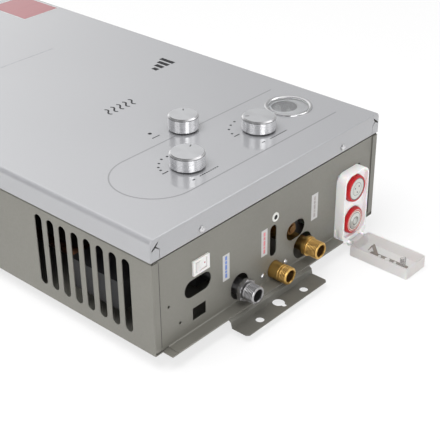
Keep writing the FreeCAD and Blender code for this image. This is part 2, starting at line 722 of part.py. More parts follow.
# Rocker switch: a snapped-in housing and a rocker that tips on two trunnions.
rocker = sizes("rocker", bezel_width=25, bezel_height=18, bezel_reach=2.2, depth=18,
               body_width=21.4, body_height=14.4, mouth_width=17.8, mouth_height=12.4,
               mouth_depth=10, pivot=0.5, half=8.2, valley=1.6, rise=3.05, thick=11.6,
               trunnion_radius=1.2, trunnion_length=13.4, tilt=10)
face = pipe_end + case.sheet
housing = new_body("switch_housing")
for level, wide, high, deep in (
        (face - rocker.bezel_reach, rocker.bezel_width, rocker.bezel_height, rocker.bezel_reach),
        (face - 0.5, rocker.body_width, rocker.body_height, rocker.depth + 0.5)):
    sketch = sketch_at(housing, "y", level)
    rectangle(sketch, across(switch.across - wide / 2), up(switch.level - high / 2),
              across(switch.across + wide / 2), up(switch.level + high / 2), 0.8)
    pad(housing, "y", sketch, deep)
sketch = sketch_at(housing, "y", face - rocker.bezel_reach - 1)
rectangle(sketch, across(switch.across - rocker.mouth_width / 2),
          up(switch.level - rocker.mouth_height / 2),
          across(switch.across + rocker.mouth_width / 2),
          up(switch.level + rocker.mouth_height / 2))
cut(housing, sketch, rocker.bezel_reach + rocker.mouth_depth + 1)
sketch = sketch_at(housing, "z", up(switch.level) + 7)
circle(sketch, across(switch.across), face + rocker.pivot, rocker.trunnion_radius + 0.05)
cut(housing, sketch, 14)
tipper = new_body("switch_rocker")
sketch = sketch_at(tipper, "z", -rocker.thick / 2)
outline(sketch, [(0, -rocker.valley), (rocker.half, -rocker.rise), (rocker.half, 1), (3, 3.5),
                 (-3, 3.5), (-rocker.half, 1), (-rocker.half, -rocker.rise)])
pad(tipper, "z", sketch, rocker.thick)
sketch = sketch_at(tipper, "z", -rocker.trunnion_length / 2)
circle(sketch, 0, 0, rocker.trunnion_radius)
pad(tipper, "z", sketch, rocker.trunnion_length)
place(tipper, across(switch.across), face + rocker.pivot, up(switch.level),
      FreeCAD.Vector(0, 0, 1), rocker.tilt.value)

# Battery case: two bores for the cells behind a shared mouth, with a lip that hangs in front
# of the foot and carries the hinge lugs.
hinge = sizes("hinge", forward=15, level=-5.5, knuckle_radius=2.4, pin_radius=1, pin_length=32,
              lug_width=5, lug_gap=0.6, play=0.05)
mouth = sizes("mouth", width=43.6, top=84.8, base=0.6, depth=4.6, bend=10)
drop = sizes("drop", bottom=-6, top=14, back=6, bend=7)
side_notch = sizes("side_notch", width=1.5, reach=6, base=1, top=13)
case_box = new_body("battery_case")
half = battery.width / 2
front = pipe_end - battery.reach
sketch = sketch_at(case_box, "y", front)
rectangle(sketch, across(battery.across - half), up(battery.floor), across(battery.across + half),
          up(battery.top), battery.bend, (False, False, True, True))
pad(case_box, "y", sketch, battery.reach + case.sheet)
sketch = sketch_at(case_box, "y", pipe_end)
inset_half = half - battery.body_inset
rectangle(sketch, across(battery.across - inset_half), up(battery.floor),
          across(battery.across + inset_half), up(battery.top - battery.body_inset),
          battery.bend - battery.body_inset, (False, False, True, True))
pad(case_box, "y", sketch, battery.depth)
sketch = sketch_at(case_box, "y", front)
rectangle(sketch, across(battery.across - half), up(drop.bottom), across(battery.across + half),
          up(drop.top), drop.bend, (True, True, False, False))
pad(case_box, "y", sketch, battery.reach - drop.back)
pivot_y = pipe_end - hinge.forward
pivot_z = up(hinge.level)
lug_reach = hinge.pin_length / 2
for lug_start in (-lug_reach, lug_reach - hinge.lug_width):
    sketch = sketch_at(case_box, "x", across(battery.across + lug_start))
    circle(sketch, pivot_y, pivot_z, hinge.knuckle_radius)
    pad(case_box, "x", sketch, hinge.lug_width)
    sketch = sketch_at(case_box, "x", across(battery.across + lug_start))
    outline(sketch, [(front + 0.5, pivot_z + hinge.knuckle_radius),
                     (pivot_y, pivot_z + hinge.knuckle_radius),
                     (pivot_y, pivot_z - hinge.knuckle_radius), (front + 0.5, up(drop.bottom) + 0.1)])
    pad(case_box, "x", sketch, hinge.lug_width)
sketch = sketch_at(case_box, "y", front - 1)
rectangle(sketch, across(battery.across - mouth.width / 2), up(mouth.base),
          across(battery.across + mouth.width / 2), up(mouth.top), mouth.bend)
cut(case_box, sketch, mouth.depth + 1)
sketch = sketch_at(case_box, "y", front - 1)
for level in (battery.lower_level, battery.upper_level):
    circle(sketch, across(battery.across), up(level), battery.bore_radius)
cut(case_box, sketch, battery.reach + battery.bore_depth + 1)
sketch = sketch_at(case_box, "y", pipe_end - side_notch.reach)
for low_x, high_x in ((-half - 1, -half + side_notch.width), (half - side_notch.width, half + 1)):
    rectangle(sketch, across(battery.across + low_x), up(side_notch.base),
              across(battery.across + high_x), up(side_notch.top))
cut(case_box, sketch, side_notch.reach)
sketch = sketch_at(case_box, "x", across(battery.across + lug_reach + 1))
circle(sketch, pivot_y, pivot_z, hinge.pin_radius)
cut(case_box, sketch, hinge.pin_length + 2)

keep("door_hinge_pin", rod("door_hinge_pin", (across(battery.across - lug_reach), pivot_y, pivot_z),
                           hinge.pin_radius, hinge.pin_length, ALONG_X))

# Battery door: a moulded tray that hangs open from the hinge, with three stakes that hold the
# contact strip.
door = sizes("door", width=40, near=5, far=87.9, rim=2.6, depth=15, wall=1.2, bend=3,
             stake_radius=1.7, stake_middle=3, stake_height=1.6, stake_first=36, stake_pitch=11,
             web=5.6)
lid = new_body("battery_door")
rim_z = pivot_z + door.rim
floor_z = rim_z - door.depth
sketch = sketch_at(lid, "z", floor_z)
rectangle(sketch, across(battery.across - door.width / 2), pivot_y - door.far,
          across(battery.across + door.width / 2), pivot_y - door.near, door.bend)
shell = pad(lid, "z", sketch, door.depth)
floor_level = floor_z.value


def is_floor_edge(edge):
    """Tells the edges round the tray's outer floor."""
    return edge.BoundBox.ZMax < floor_level + 0.01


round_edges(lid, shell, is_floor_edge, door.wall)
sketch = sketch_at(lid, "z", rim_z + 1)
rectangle(sketch, across(battery.across - door.width / 2) + door.wall,
          pivot_y - door.far + door.wall, across(battery.across + door.width / 2) - door.wall,
          pivot_y - door.near - door.wall, door.bend - door.wall)
cut(lid, sketch, door.depth - door.wall + 1)
knuckle_half = lug_reach - hinge.lug_width - hinge.lug_gap
sketch = sketch_at(lid, "x", across(battery.across - knuckle_half))
circle(sketch, pivot_y, pivot_z, hinge.knuckle_radius)
pad(lid, "x", sketch, knuckle_half * 2)
sketch = sketch_at(lid, "x", across(battery.across - knuckle_half))
rectangle(sketch, pivot_y - door.web, pivot_z - hinge.knuckle_radius, pivot_y,
          pivot_z + hinge.knuckle_radius)
pad(lid, "x", sketch, knuckle_half * 2)
sketch = sketch_at(lid, "x", across(battery.across + knuckle_half) + 1)
circle(sketch, pivot_y, pivot_z, hinge.pin_radius + hinge.play)
cut(lid, sketch, knuckle_half * 2 + 2)
stakes = [(pivot_y - door.stake_first - door.stake_pitch * n,
           door.stake_middle if n == 1 else door.stake_radius) for n in range(3)]
inner_floor = floor_z + door.wall
sketch = sketch_at(lid, "z", inner_floor - 0.2)
for stake, stake_radius in stakes:
    circle(sketch, across(battery.across), stake, stake_radius)
pad(lid, "z", sketch, door.stake_height + 0.2)

# Contact strip, leaf and coil spring on the door, which join the two cells.
strip = sizes("strip", near=22, far=75, width=9, sheet=0.4)
contact = new_body("door_contact_strip")
sketch = sketch_at(contact, "z", inner_floor)
rectangle(sketch, across(battery.across - strip.width / 2), pivot_y - strip.far,
          across(battery.across + strip.width / 2), pivot_y - strip.near, 2)
pad(contact, "z", sketch, strip.sheet)
sketch = sketch_at(contact, "z", inner_floor + 2)
for stake, stake_radius in stakes:
    circle(sketch, across(battery.across), stake, stake_radius)
cut(contact, sketch, 3)
leaf = sizes("leaf", foot=32, knee=26.5, crown=25, heel=20.5, width=6, top=1.3, tail=-6.5,
             sheet=0.6)
leaf_base = inner_floor + strip.sheet
sketch = sketch_at(contact, "x", across(battery.across - leaf.width / 2))
outline(sketch, [(pivot_y - leaf.foot, leaf_base), (pivot_y - leaf.knee, pivot_z + leaf.top),
                 (pivot_y - leaf.crown, pivot_z + leaf.top),
                 (pivot_y - leaf.heel, pivot_z + leaf.tail),
                 (pivot_y - leaf.heel - leaf.sheet, pivot_z + leaf.tail - 0.4),
                 (pivot_y - leaf.crown - leaf.sheet * 0.5, pivot_z + leaf.top - leaf.sheet * 1.4),
                 (pivot_y - leaf.knee + leaf.sheet * 0.3, pivot_z + leaf.top - leaf.sheet * 1.4),
                 (pivot_y - leaf.foot + leaf.sheet * 1.3, leaf_base)])
pad(contact, "x", sketch, leaf.width)


def biarc_edges(start, start_way, finish, finish_way):
    """Two arcs that join two points and keep both directions."""
    chord = finish - start
    ways = start_way + finish_way
    a = 2 * (1 - start_way.dot(finish_way))
    b = 2 * chord.dot(ways)
    reach = (-b + math.sqrt(b * b + 4 * a * chord.dot(chord))) / (2 * a)
    join = (start + finish + (start_way - finish_way) * reach) * 0.5
    first_knee = start + start_way * reach
    last_knee = finish - finish_way * reach
    edges = []
    for here, knee, there in ((start, first_knee, join), (join, last_knee, finish)):
        middle = (here + there) * 0.5
        inward = knee - middle
        half_chord = (there - here).Length / 2
        leg = math.hypot(half_chord, inward.Length)
        sagitta = half_chord * (leg - half_chord) / inward.Length
        crest = middle + inward.normalize() * sagitta
        edges.append(Part.Arc(here, crest, there).toShape())
    return edges


def coil_spring(name, radius, wire_radius, height, turns, x, y, z, facing):
    """A round-wire spring from its first end, as one unbroken wire of half turns."""
    pitch = height.value / turns
    steps = turns * 2

    def spot(step):
        angle = math.pi * step
        return FreeCAD.Vector(radius.value * math.cos(angle), radius.value * math.sin(angle),
                              pitch * step / 2)

    def way(step):
        angle = math.pi * step
        forward = FreeCAD.Vector(-math.sin(angle), math.cos(angle),
                                 pitch / (2 * math.pi * radius.value))
        return forward.normalize()

    edges = []
    for step in range(steps):
        edges += biarc_edges(spot(step), way(step), spot(step + 1), way(step + 1))
    path = Part.Wire(edges)
    outward = FreeCAD.Vector(1, 0, 0)
    upward = way(0).cross(outward)
    corners = [spot(0) + (outward * math.cos(math.pi * n / 4) + upward * math.sin(math.pi * n / 4))
               * wire_radius.value for n in range(9)]
    pipe = path.makePipeShell([Part.makePolygon(corners)], True, False)
    spring = doc.addObject("Part::Feature", name)
    spring.Shape = pipe
    place(spring, x, y, z, *facing)
    samples = [point for edge in edges for point in edge.discretize(12)]
    per_turn = 12 * 4
    gap = min(here.distanceToPoint(there) for n, here in enumerate(samples)
              for there in samples[n + per_turn // 2:]) - wire_radius.value * 2
    print(f"{name}: least gap between curls {gap:.2f} mm")
    return keep(name, spring)


door_coil = sizes("door_coil", radius=3.2, wire_radius=0.4, height=11.3, line=69)
coil_spring("door_coil_spring", door_coil.radius, door_coil.wire_radius, door_coil.height, 6,
            across(battery.across), pivot_y - door_coil.line,
            leaf_base + door_coil.wire_radius + 0.1, (None, 0))
case_coil = sizes("case_coil", radius=6, wire_radius=0.45, height=5.9)
coil_spring("case_coil_spring", case_coil.radius, case_coil.wire_radius, case_coil.height, 3,
            across(battery.across), along(battery.bore_depth) - case_coil.wire_radius - 0.1,
            up(battery.lower_level), OUT_OF_PIPE_END)
tab = sizes("tab", width=14, low=57, high=70, clear=0.4, sheet=0.6)
plate = new_body("case_contact_plate")
tab_face = along(battery.cell_length - battery.cell_front) + tab.clear
tab_root = along(battery.bore_depth)
sketch = sketch_at(plate, "x", across(battery.across - tab.width / 2))
outline(sketch, [(tab_face, up(tab.low)), (tab_face + tab.sheet, up(tab.low)),
                 (tab_face + tab.sheet, up(tab.high - tab.sheet)),
                 (tab_root, up(tab.high - tab.sheet)), (tab_root, up(tab.high)),
                 (tab_face, up(tab.high))])
pad(plate, "x", sketch, tab.width)

# The two cells: one shows its flat end in the case's mouth, the other its button end.
cell = sizes("cell", button_radius=4.8, button_height=1.5, crimp=1.6, disc_radius=14.2,
             disc_sink=0.4)
cell_profile = [
    (0, 0), (cell.button_radius, 0), (cell.button_radius, cell.button_height),
    (battery.cell_radius - cell.crimp, cell.button_height),
    (battery.cell_radius, cell.button_height + cell.crimp),
    (battery.cell_radius, battery.cell_length - cell.crimp),
    (battery.cell_radius - cell.crimp, battery.cell_length),
    (cell.disc_radius, battery.cell_length),
    (cell.disc_radius, battery.cell_length - cell.disc_sink),
    (0, battery.cell_length - cell.disc_sink)]
turned("upper_cell", cell_profile, across(battery.across),
       along(battery.cell_length - battery.cell_front), up(battery.upper_level), OUT_OF_PIPE_END)
turned("lower_cell", cell_profile, across(battery.across), along(-battery.cell_front),
       up(battery.lower_level), ALONG_Y)

# Pipe connections with half-inch pipe threads, shown here at their outer radius.
thread = sizes("thread", radius=10.48, bore_radius=7.3, neck_radius=9)
gas_end = gas_pipe.reach
turned("gas_inlet_connector", [
    (thread.bore_radius, -50), (thread.neck_radius, -50), (thread.neck_radius, 11.5),
    (thread.radius, 12.5), (thread.radius, gas_end - 1), (thread.radius - 1, gas_end),
    (thread.bore_radius, gas_end)],
    across(gas_pipe.across), pipe_end, up(gas_pipe.level), OUT_OF_PIPE_END)
nut = sizes("nut", flats=25, start=5.5, height=5.5)
gas_nut = new_body("gas_inlet_nut")
sketch = sketch_at(gas_nut, "y", pipe_end - nut.start - nut.height)
nut_corner = nut.flats / math.sqrt(3)
outline(sketch, [(across(gas_pipe.across) + nut_corner * math.cos(math.radians(60 * n)),
                  up(gas_pipe.level) + nut_corner * math.sin(math.radians(60 * n)))
                 for n in range(6)])
pad(gas_nut, "y", sketch, nut.height)
sketch = sketch_at(gas_nut, "y", pipe_end - nut.start - nut.height - 1)
circle(sketch, across(gas_pipe.across), up(gas_pipe.level), thread.neck_radius)
cut(gas_nut, sketch, nut.height + 2)

turned("hot_outlet_connector", [
    (thread.bore_radius, -10), (10.3, -10), (10.3, 11.5), (9.6, 12), (9.6, 13.5),
    (thread.radius, 14.5), (thread.radius, hot_pipe_end.reach - 0.5),
    (thread.radius - 0.5, hot_pipe_end.reach), (thread.bore_radius, hot_pipe_end.reach)],
    across(hot_pipe_end.across), pipe_end, up(hot_pipe_end.level), OUT_OF_PIPE_END)
outlet_flange = sizes("outlet_flange", length=54, width=20.9, sheet=2.5, hole=1.9,
                      ring_radius=10.48)
inside = pipe_end + case.sheet * 2
plate = new_body("hot_outlet_flange")
sketch = sketch_at(plate, "y", inside)
slot(sketch, across(hot_pipe_end.across), up(hot_pipe_end.level) + 2, outlet_flange.length,
     outlet_flange.width + 4)
pad(plate, "y", sketch, outlet_flange.sheet)
sketch = sketch_at(plate, "y", inside - 1)
circle(sketch, across(hot_pipe_end.across), up(hot_pipe_end.level), outlet_flange.ring_radius)
for side in (-1, 1):
    circle(sketch, across(hot_pipe_end.across + hot_pipe_end.screw_spacing / 2 * side),
           up(hot_pipe_end.level), outlet_flange.hole)
cut(plate, sketch, outlet_flange.sheet + 2)
flange_screws = []
for side in (-1, 1):
    screw = turned("outlet_flange_screw", [
        (0, -8), (1.8, -8), (1.8, 0), (3.6, 0), (3.6, 1), (2.6, 2), (0, 2.2)],
        across(hot_pipe_end.across + hot_pipe_end.screw_spacing / 2 * side),
        pipe_end + case.sheet, up(hot_pipe_end.level), OUT_OF_PIPE_END)
    pieces.pop("outlet_flange_screw")
    flange_screws.append(screw)
group("outlet_flange_screws", flange_screws)

cold_end = cold_pipe_end.reach
turned("cold_inlet_connector", [
    (thread.bore_radius, -57), (thread.neck_radius, -57), (thread.neck_radius, 5),
    (thread.radius + 1.4, 5), (thread.radius + 1.4, 10), (thread.radius, 10.5),
    (thread.radius, cold_end - 0.5), (thread.radius - 0.5, cold_end),
    (thread.bore_radius, cold_end)],
    across(cold_pipe_end.across), pipe_end, up(cold_pipe_end.level), OUT_OF_PIPE_END)
turned("drain_plug", [
    (0, -4), (5, -4), (5, -6), (7.5, -6), (7.5, -12), (5.5, -12), (5.5, -42), (0, -42)],
    across(drain_slot.across - 1.3), pipe_end, up(drain_slot.level), OUT_OF_PIPE_END)
turned("panel_grommet", [
    (2.8, -3.2), (5.4, -3.2), (5.4, -2), (4.1, -2), (4.1, -1), (5.7, -1), (5.7, 0.3), (2.8, 0.3)],
    across(grommet.across), pipe_end, up(grommet.level), OUT_OF_PIPE_END)

# Gas side: the control valve over the gas inlet, its safety solenoid, and the season valve
# that feeds the burner manifold.
gas = sizes("gas_valve", start=105, near=50, base=30, wide=113, length=58, deep=55,
            boss_radius=11, boss_height=13, stub_start=117, stub_wide=36, stub_length=24,
            stub_base=6)
bore = knob_form.spindle_radius + 0.06
spindle_foot = case.depth - knob_form.spindle_depth
knob = knob_places["gas"]
gas_top = gas.base + gas.deep
bore_foot = spindle_foot - 0.5
gas_solid = joined("gas_valve_solid", [
    block("gas_valve_block", (across(gas.start), along(gas.near), up(gas.base)), gas.wide,
          gas.length, gas.deep),
    block("gas_valve_stub", (across(gas.stub_start), along(gas.near), up(gas.stub_base)),
          gas.stub_wide, gas.stub_length, gas.base),
    rod("gas_valve_boss", (across(knob.across), along(knob.along), up(gas_top - 1)),
        gas.boss_radius, spindle_foot - gas_top + gas.boss_height)])
keep("gas_valve", drilled("gas_valve", gas_solid, [
    rod("gas_valve_bore", (across(knob.across), along(knob.along), up(bore_foot)), bore, 40)]))

season = sizes("season_valve", start=182, near=122, base=55, wide=42, length=46, deep=42,
               neck_radius=9, boss_radius=10, boss_height=13, neck_length=14)
knob = knob_places["season"]
season_top = season.base + season.deep
season_solid = joined("season_valve_solid", [
    block("season_valve_block", (across(season.start), along(season.near), up(season.base)),
          season.wide, season.length, season.deep),
    rod("season_valve_neck", (across(season.start + season.wide / 2),
                              along(gas.near + gas.length), up(season.base + 12)),
        season.neck_radius, season.near - gas.near - gas.length + 1, ALONG_Y),
    rod("season_valve_feed", (across(season.start + season.wide / 2),
                              along(season.near + season.length - 1), up(season.base + 15)),
        season.neck_radius, season.neck_length, ALONG_Y),
    rod("season_valve_boss", (across(knob.across), along(knob.along), up(season_top - 1)),
        season.boss_radius, spindle_foot - season_top + season.boss_height)])
keep("season_valve", drilled("season_valve", season_solid, [
    rod("season_valve_bore", (across(knob.across), along(knob.along), up(bore_foot)), bore, 40)]))

solenoid = sizes("solenoid", length=36, radius=13, cap_radius=9, cap_length=6, along=80, level=55)
keep("solenoid_valve", joined("solenoid_valve", [
    rod("solenoid_can", (across(gas.start - solenoid.length), along(solenoid.along),
                         up(solenoid.level)), solenoid.radius, solenoid.length, ALONG_X),
    rod("solenoid_cap", (across(gas.start - solenoid.length - solenoid.cap_length),
                         along(solenoid.along), up(solenoid.level)),
        solenoid.cap_radius, solenoid.cap_length + 1, ALONG_X)]))

# Water side: the flow valve beside the gas valve, with its diaphragm chamber and tower.
water = sizes("water_valve", chamber_start=224, chamber_radius=33, chamber_length=22,
              rim_radius=37, rim_start=232, rim_length=5, tower_start=244, tower_near=64,
              tower_base=8, tower_wide=30, tower_length=30, tower_top=97, boss_radius=10,
              level=56, outlet_radius=8, link_radius=10)
knob = knob_places["water"]
water_solid = joined("water_valve_solid", [
    rod("water_chamber", (across(water.chamber_start), along(knob.along), up(water.level)),
        water.chamber_radius, water.chamber_length, ALONG_X),
    rod("water_rim", (across(water.rim_start), along(knob.along), up(water.level)),
        water.rim_radius, water.rim_length, ALONG_X),
    rod("water_link", (across(gas.start + gas.wide), along(knob.along), up(water.level)),
        water.link_radius, water.chamber_start - gas.start - gas.wide + 1, ALONG_X),
    block("water_tower", (across(water.tower_start), along(water.tower_near),
                          up(water.tower_base)), water.tower_wide, water.tower_length,
          water.tower_top - water.tower_base),
    block("water_inlet", (across(cold_pipe_end.across - 9.5), along(water.tower_near - 7),
                          up(cold_pipe_end.level - 9.5)), 19, 26, 30),
    rod("water_outlet", (across(water.tower_start + water.tower_wide - 1), along(knob.along),
                         up(water.level)), water.outlet_radius, 12, ALONG_X),
    rod("water_boss", (across(knob.across), along(knob.along), up(water.tower_top - 1)),
        water.boss_radius, 21)])
keep("water_valve", drilled("water_valve", water_solid, [
    rod("water_valve_bore", (across(knob.across), along(knob.along), up(bore_foot)), bore, 40)]))

micro = sizes("microswitch", start=196, near=60, wide=20, length=10, deep=16)
keep("flow_microswitch", joined("flow_microswitch", [
    block("microswitch_body", (across(micro.start), along(micro.near), up(gas_top)),
          micro.wide, micro.length, micro.deep),
    block("microswitch_lever", (across(micro.start + micro.wide), along(micro.near + 3),
                                up(gas_top + 4)), 9, 4, 0.6)]))

# Burner: a manifold with ten jets, a frame, and ten upright burner strips.
manifold = sizes("manifold", start=80, wide=230, near=181, length=10, base=60, deep=20,
                 jet_radius=2.5, jet_length=5)
burner = sizes("burner", first=90, pitch=23.3, count=10, strip_wide=7, near=198, length=78,
               base=38, deep=70)
jets = [rod("jet", (across(burner.first + burner.pitch * n), along(manifold.near + manifold.length - 0.5),
                    up(manifold.base + manifold.deep / 2)), manifold.jet_radius,
            manifold.jet_length + 0.5, ALONG_Y) for n in range(int(burner.count.value))]
keep("gas_manifold", joined("gas_manifold", [
    block("manifold_bar", (across(manifold.start), along(manifold.near), up(manifold.base)),
          manifold.wide, manifold.length, manifold.deep)] + jets))
strips = [block("burner_strip", (across(burner.first + burner.pitch * n - burner.strip_wide / 2),
                                 along(burner.near), up(burner.base)),
                burner.strip_wide, burner.length, burner.deep)
          for n in range(int(burner.count.value))]
group("burner_strips", strips)
frame = sizes("burner_frame", start=76, wide=238, near=197, length=82, base=34, deep=78, sheet=1.2)
frame_out = block("frame_out", (across(frame.start), along(frame.near), up(frame.base)),
                  frame.wide, frame.length, frame.deep)
frame_in = block("frame_in", (across(frame.start + frame.sheet), along(frame.near) - 1,
                              up(frame.base + frame.sheet)), frame.wide - frame.sheet * 2,
                 frame.length + 2, frame.deep - frame.sheet * 2)
keep("burner_frame", drilled("burner_frame", frame_out, [frame_in]))

# Heat exchanger: an open duct, three passes of tube through a pack of fins, and the hood.
duct = sizes("duct", start=70, wide=250, near=300, length=180, base=16, deep=104, sheet=1)
tube = sizes("tube", radius=7, line=450, first=36, pitch=32, overhang=7)
hood = sizes("hood", near=481, sheet=1)
fin = sizes("fin", first=91, pitch=26, count=9, sheet=0.8, near=425, length=50, inset=3)
passes = [rod("pass", (across(duct.start) - 1, along(tube.line), up(tube.first + tube.pitch * n)),
              tube.radius, duct.wide + 2, ALONG_X) for n in range(3)]
duct_out = block("duct_out", (across(duct.start), along(duct.near), up(duct.base)),
                 duct.wide, duct.length, duct.deep)
duct_in = block("duct_in", (across(duct.start + duct.sheet), along(duct.near) - 1,
                            up(duct.base + duct.sheet)), duct.wide - duct.sheet * 2,
                duct.length + 2, duct.deep - duct.sheet * 2)
keep("exchanger_shell", drilled("exchanger_shell", duct_out, [duct_in] + passes))
fins = []
for n in range(int(fin.count.value)):
    blank = block("fin_blank", (across(fin.first + fin.pitch * n), along(fin.near),
                                up(duct.base + fin.inset)),
                  fin.sheet, fin.length, duct.deep - fin.inset * 2)
    holes = [rod("fin_hole", (across(fin.first + fin.pitch * n) - 1, along(tube.line),
                              up(tube.first + tube.pitch * k)), tube.radius, 4, ALONG_X)
             for k in range(3)]
    fins.append(drilled("fin", blank, holes))
group("exchanger_fins", fins)


def pipe_along(name, points, bend, radius):
    """A bent pipe through its corner points, each corner an arc of one radius."""
    spots = [FreeCAD.Vector(*[as_size(c).value for c in point]) for point in points]
    edges = []
    here = spots[0]
    for before, corner, after in zip(spots, spots[1:], spots[2:]):
        back_way = (before - corner).normalize()
        on_way = (after - corner).normalize()
        half_angle = math.acos(max(-1, min(1, back_way.dot(on_way)))) / 2
        setback = bend.value / math.tan(half_angle)
        start = corner + back_way * setback
        finish = corner + on_way * setback
        toward = (back_way + on_way).normalize()
        crest = corner + toward * (bend.value / math.sin(half_angle) - bend.value)
        edges.append(Part.LineSegment(here, start).toShape())
        edges.append(Part.Arc(start, crest, finish).toShape())
        here = finish
    edges.append(Part.LineSegment(here, spots[-1]).toShape())
    path = Part.Wire(edges)
    ring = Part.Circle(spots[0], (spots[1] - spots[0]).normalize(), radius.value)
    pipe = doc.addObject("Part::Feature", name)
    pipe.Shape = path.makePipeShell([Part.Wire(ring.toShape())], True, False)
    ideal = math.pi * radius.value ** 2 * path.Length
    if abs(pipe.Shape.Volume - ideal) > ideal * 0.01:
        raise RuntimeError(f"{name} is not as long as its path")
    return keep(name, pipe)


pipe_form = sizes("pipe_form", bend=15.9, radius=6, rise_across=345, fall_across=45,
                  turn_along=168, hot_line=335)
tube_start = across(duct.start + duct.wide + tube.overhang)
tube_finish = across(duct.start - tube.overhang)
left_turn = tube_finish - pipe_form.bend
right_turn = tube_start + pipe_form.bend
pass_z = [up(tube.first + tube.pitch * n) for n in range(3)]
pipe_along("exchanger_tube", [
    (tube_start, along(tube.line), pass_z[2]), (left_turn, along(tube.line), pass_z[2]),
    (left_turn, along(tube.line), pass_z[1]), (right_turn, along(tube.line), pass_z[1]),
    (right_turn, along(tube.line), pass_z[0]), (tube_finish, along(tube.line), pass_z[0])],
    pipe_form.bend, tube.radius)
pipe_along("cold_pipe", [
    (across(water.tower_start + water.tower_wide + 11), along(knob.along), up(water.level)),
    (across(pipe_form.rise_across), along(knob.along), up(water.level)),
    (across(pipe_form.rise_across), along(tube.line - 60), up(water.level)),
    (across(pipe_form.rise_across), along(tube.line), pass_z[2]),
    (tube_start, along(tube.line), pass_z[2])], sizes("cold_pipe", bend=10).bend,
    pipe_form.radius)
pipe_along("hot_pipe", [
    (tube_finish, along(tube.line), pass_z[0]),
    (across(pipe_form.fall_across), along(tube.line), pass_z[0]),
    (across(pipe_form.fall_across), along(pipe_form.turn_along), pass_z[0]),
    (across(hot_pipe_end.across - 40), along(pipe_form.turn_along), up(hot_pipe_end.level + 4)),
    (across(hot_pipe_end.across), along(pipe_form.turn_along - 45), up(hot_pipe_end.level)),
    (across(hot_pipe_end.across), along(10), up(hot_pipe_end.level))],
    sizes("hot_pipe", bend=10).bend, pipe_form.radius)

hood_top = flue_end - case.sheet * 2 - case.step - 2
hood_forms = []
for shrink, extra in ((as_size(0), as_size(0)), (hood.sheet, as_size(0.01))):
    taper = doc.addObject("Part::Wedge", "hood_form")
    radius = flue.radius - flue.sheet - 1 - shrink
    for word, size in (
            ("Xmin", across(duct.start) + shrink), ("Xmax", across(duct.start + duct.wide) - shrink),
            ("Zmin", up(duct.base) + shrink), ("Zmax", up(duct.base + duct.deep) - shrink),
            ("X2min", -radius), ("X2max", radius), ("Z2min", up(flue.level) - radius),
            ("Z2max", up(flue.level) + radius), ("Ymin", along(hood.near) - extra),
            ("Ymax", hood_top + extra)):
        bind(taper, word, size)
    hood_forms.append(taper)
keep("flue_hood", drilled("flue_hood", hood_forms[0], hood_forms[1:]))

# Ignition: the spark box, its electrode and the flame sensor over the burner, and the
# overheat cut-out on the exchanger.
box = sizes("igniter", start=12, near=60, base=24, wide=42, length=78, deep=36)
keep("igniter_box", joined("igniter_box", [
    block("igniter_case", (across(box.start), along(box.near), up(box.base)),
          box.wide, box.length, box.deep),
    block("igniter_plug", (across(box.start + 8), along(box.near + box.length), up(box.base + 10)),
          24, 8, 12)]))
probe = sizes("probe", spark_across=150, sensor_across=225, along=262, level=118)
probes = []
for place_across in (probe.spark_across, probe.sensor_across):
    probes.append(turned("probe", [(0, 0), (3.2, 0), (3.2, 24), (1, 26), (1, 36), (0, 36)],
                         across(place_across), along(probe.along), up(probe.level), ALONG_Y))
    pieces.pop("probe")
group("burner_probes", probes)
cutout = sizes("cutout", across=120, along=390)
turned("overheat_sensor", [(0, 0), (11, 0), (11, 1), (7.5, 1), (7.5, 9), (0, 9)],
       across(cutout.across), along(cutout.along), up(duct.base + duct.deep))

doc.recompute()
for thing in doc.Objects:
    if "Invalid" in thing.State or "Error" in thing.State:
        raise RuntimeError(f"{thing.Name} ({thing.Label}) failed: {thing.State}")
for name, piece in pieces.items():
    shape = piece.Shape
    if shape.isNull() or not shape.isValid() or shape.Volume <= 0:
        raise RuntimeError(f"{name} has no valid solid")

os.makedirs("parts", exist_ok=True)
for name, piece in pieces.items():
    piece.Shape.exportStep(f"parts/{name}.step")
print(f"{len(pieces)} pieces written")
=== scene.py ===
import math

import bmesh
import bpy
from mathutils import Matrix, Vector


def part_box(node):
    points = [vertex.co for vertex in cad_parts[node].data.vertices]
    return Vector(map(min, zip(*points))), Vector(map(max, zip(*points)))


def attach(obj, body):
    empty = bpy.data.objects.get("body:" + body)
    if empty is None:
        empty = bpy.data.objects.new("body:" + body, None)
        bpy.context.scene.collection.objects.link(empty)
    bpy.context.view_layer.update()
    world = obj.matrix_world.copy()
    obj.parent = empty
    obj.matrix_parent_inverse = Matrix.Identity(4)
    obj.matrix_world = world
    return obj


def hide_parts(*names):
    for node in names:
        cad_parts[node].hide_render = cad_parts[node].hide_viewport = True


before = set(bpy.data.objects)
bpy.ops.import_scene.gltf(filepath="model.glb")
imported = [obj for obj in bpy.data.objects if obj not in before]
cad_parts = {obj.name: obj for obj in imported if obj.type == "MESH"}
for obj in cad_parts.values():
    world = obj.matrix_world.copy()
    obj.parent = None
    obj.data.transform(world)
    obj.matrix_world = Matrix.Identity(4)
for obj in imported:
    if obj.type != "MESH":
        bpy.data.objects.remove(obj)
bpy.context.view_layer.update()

# Front cover. A folded tray of pre-coated sheet steel, silver grey under a clear gloss film,
# dropped over the case and held by two screws through each end lip.
COVER_GREY = (0.345, 0.347, 0.362)
COVER_GREY_SHADE = (0.326, 0.329, 0.344)


def add_node(tree, kind, links=(), **settings):
    """Adds a node: an output in links is joined to the socket, and a value is set on it."""
    made = tree.nodes.new(kind)
    for word, value in settings.items():
        setattr(made, word, value)
    for socket, source in dict(links).items():
        if hasattr(source, "links"):
            tree.links.new(source, made.inputs[socket])
        else:
            made.inputs[socket].default_value = source
    return made


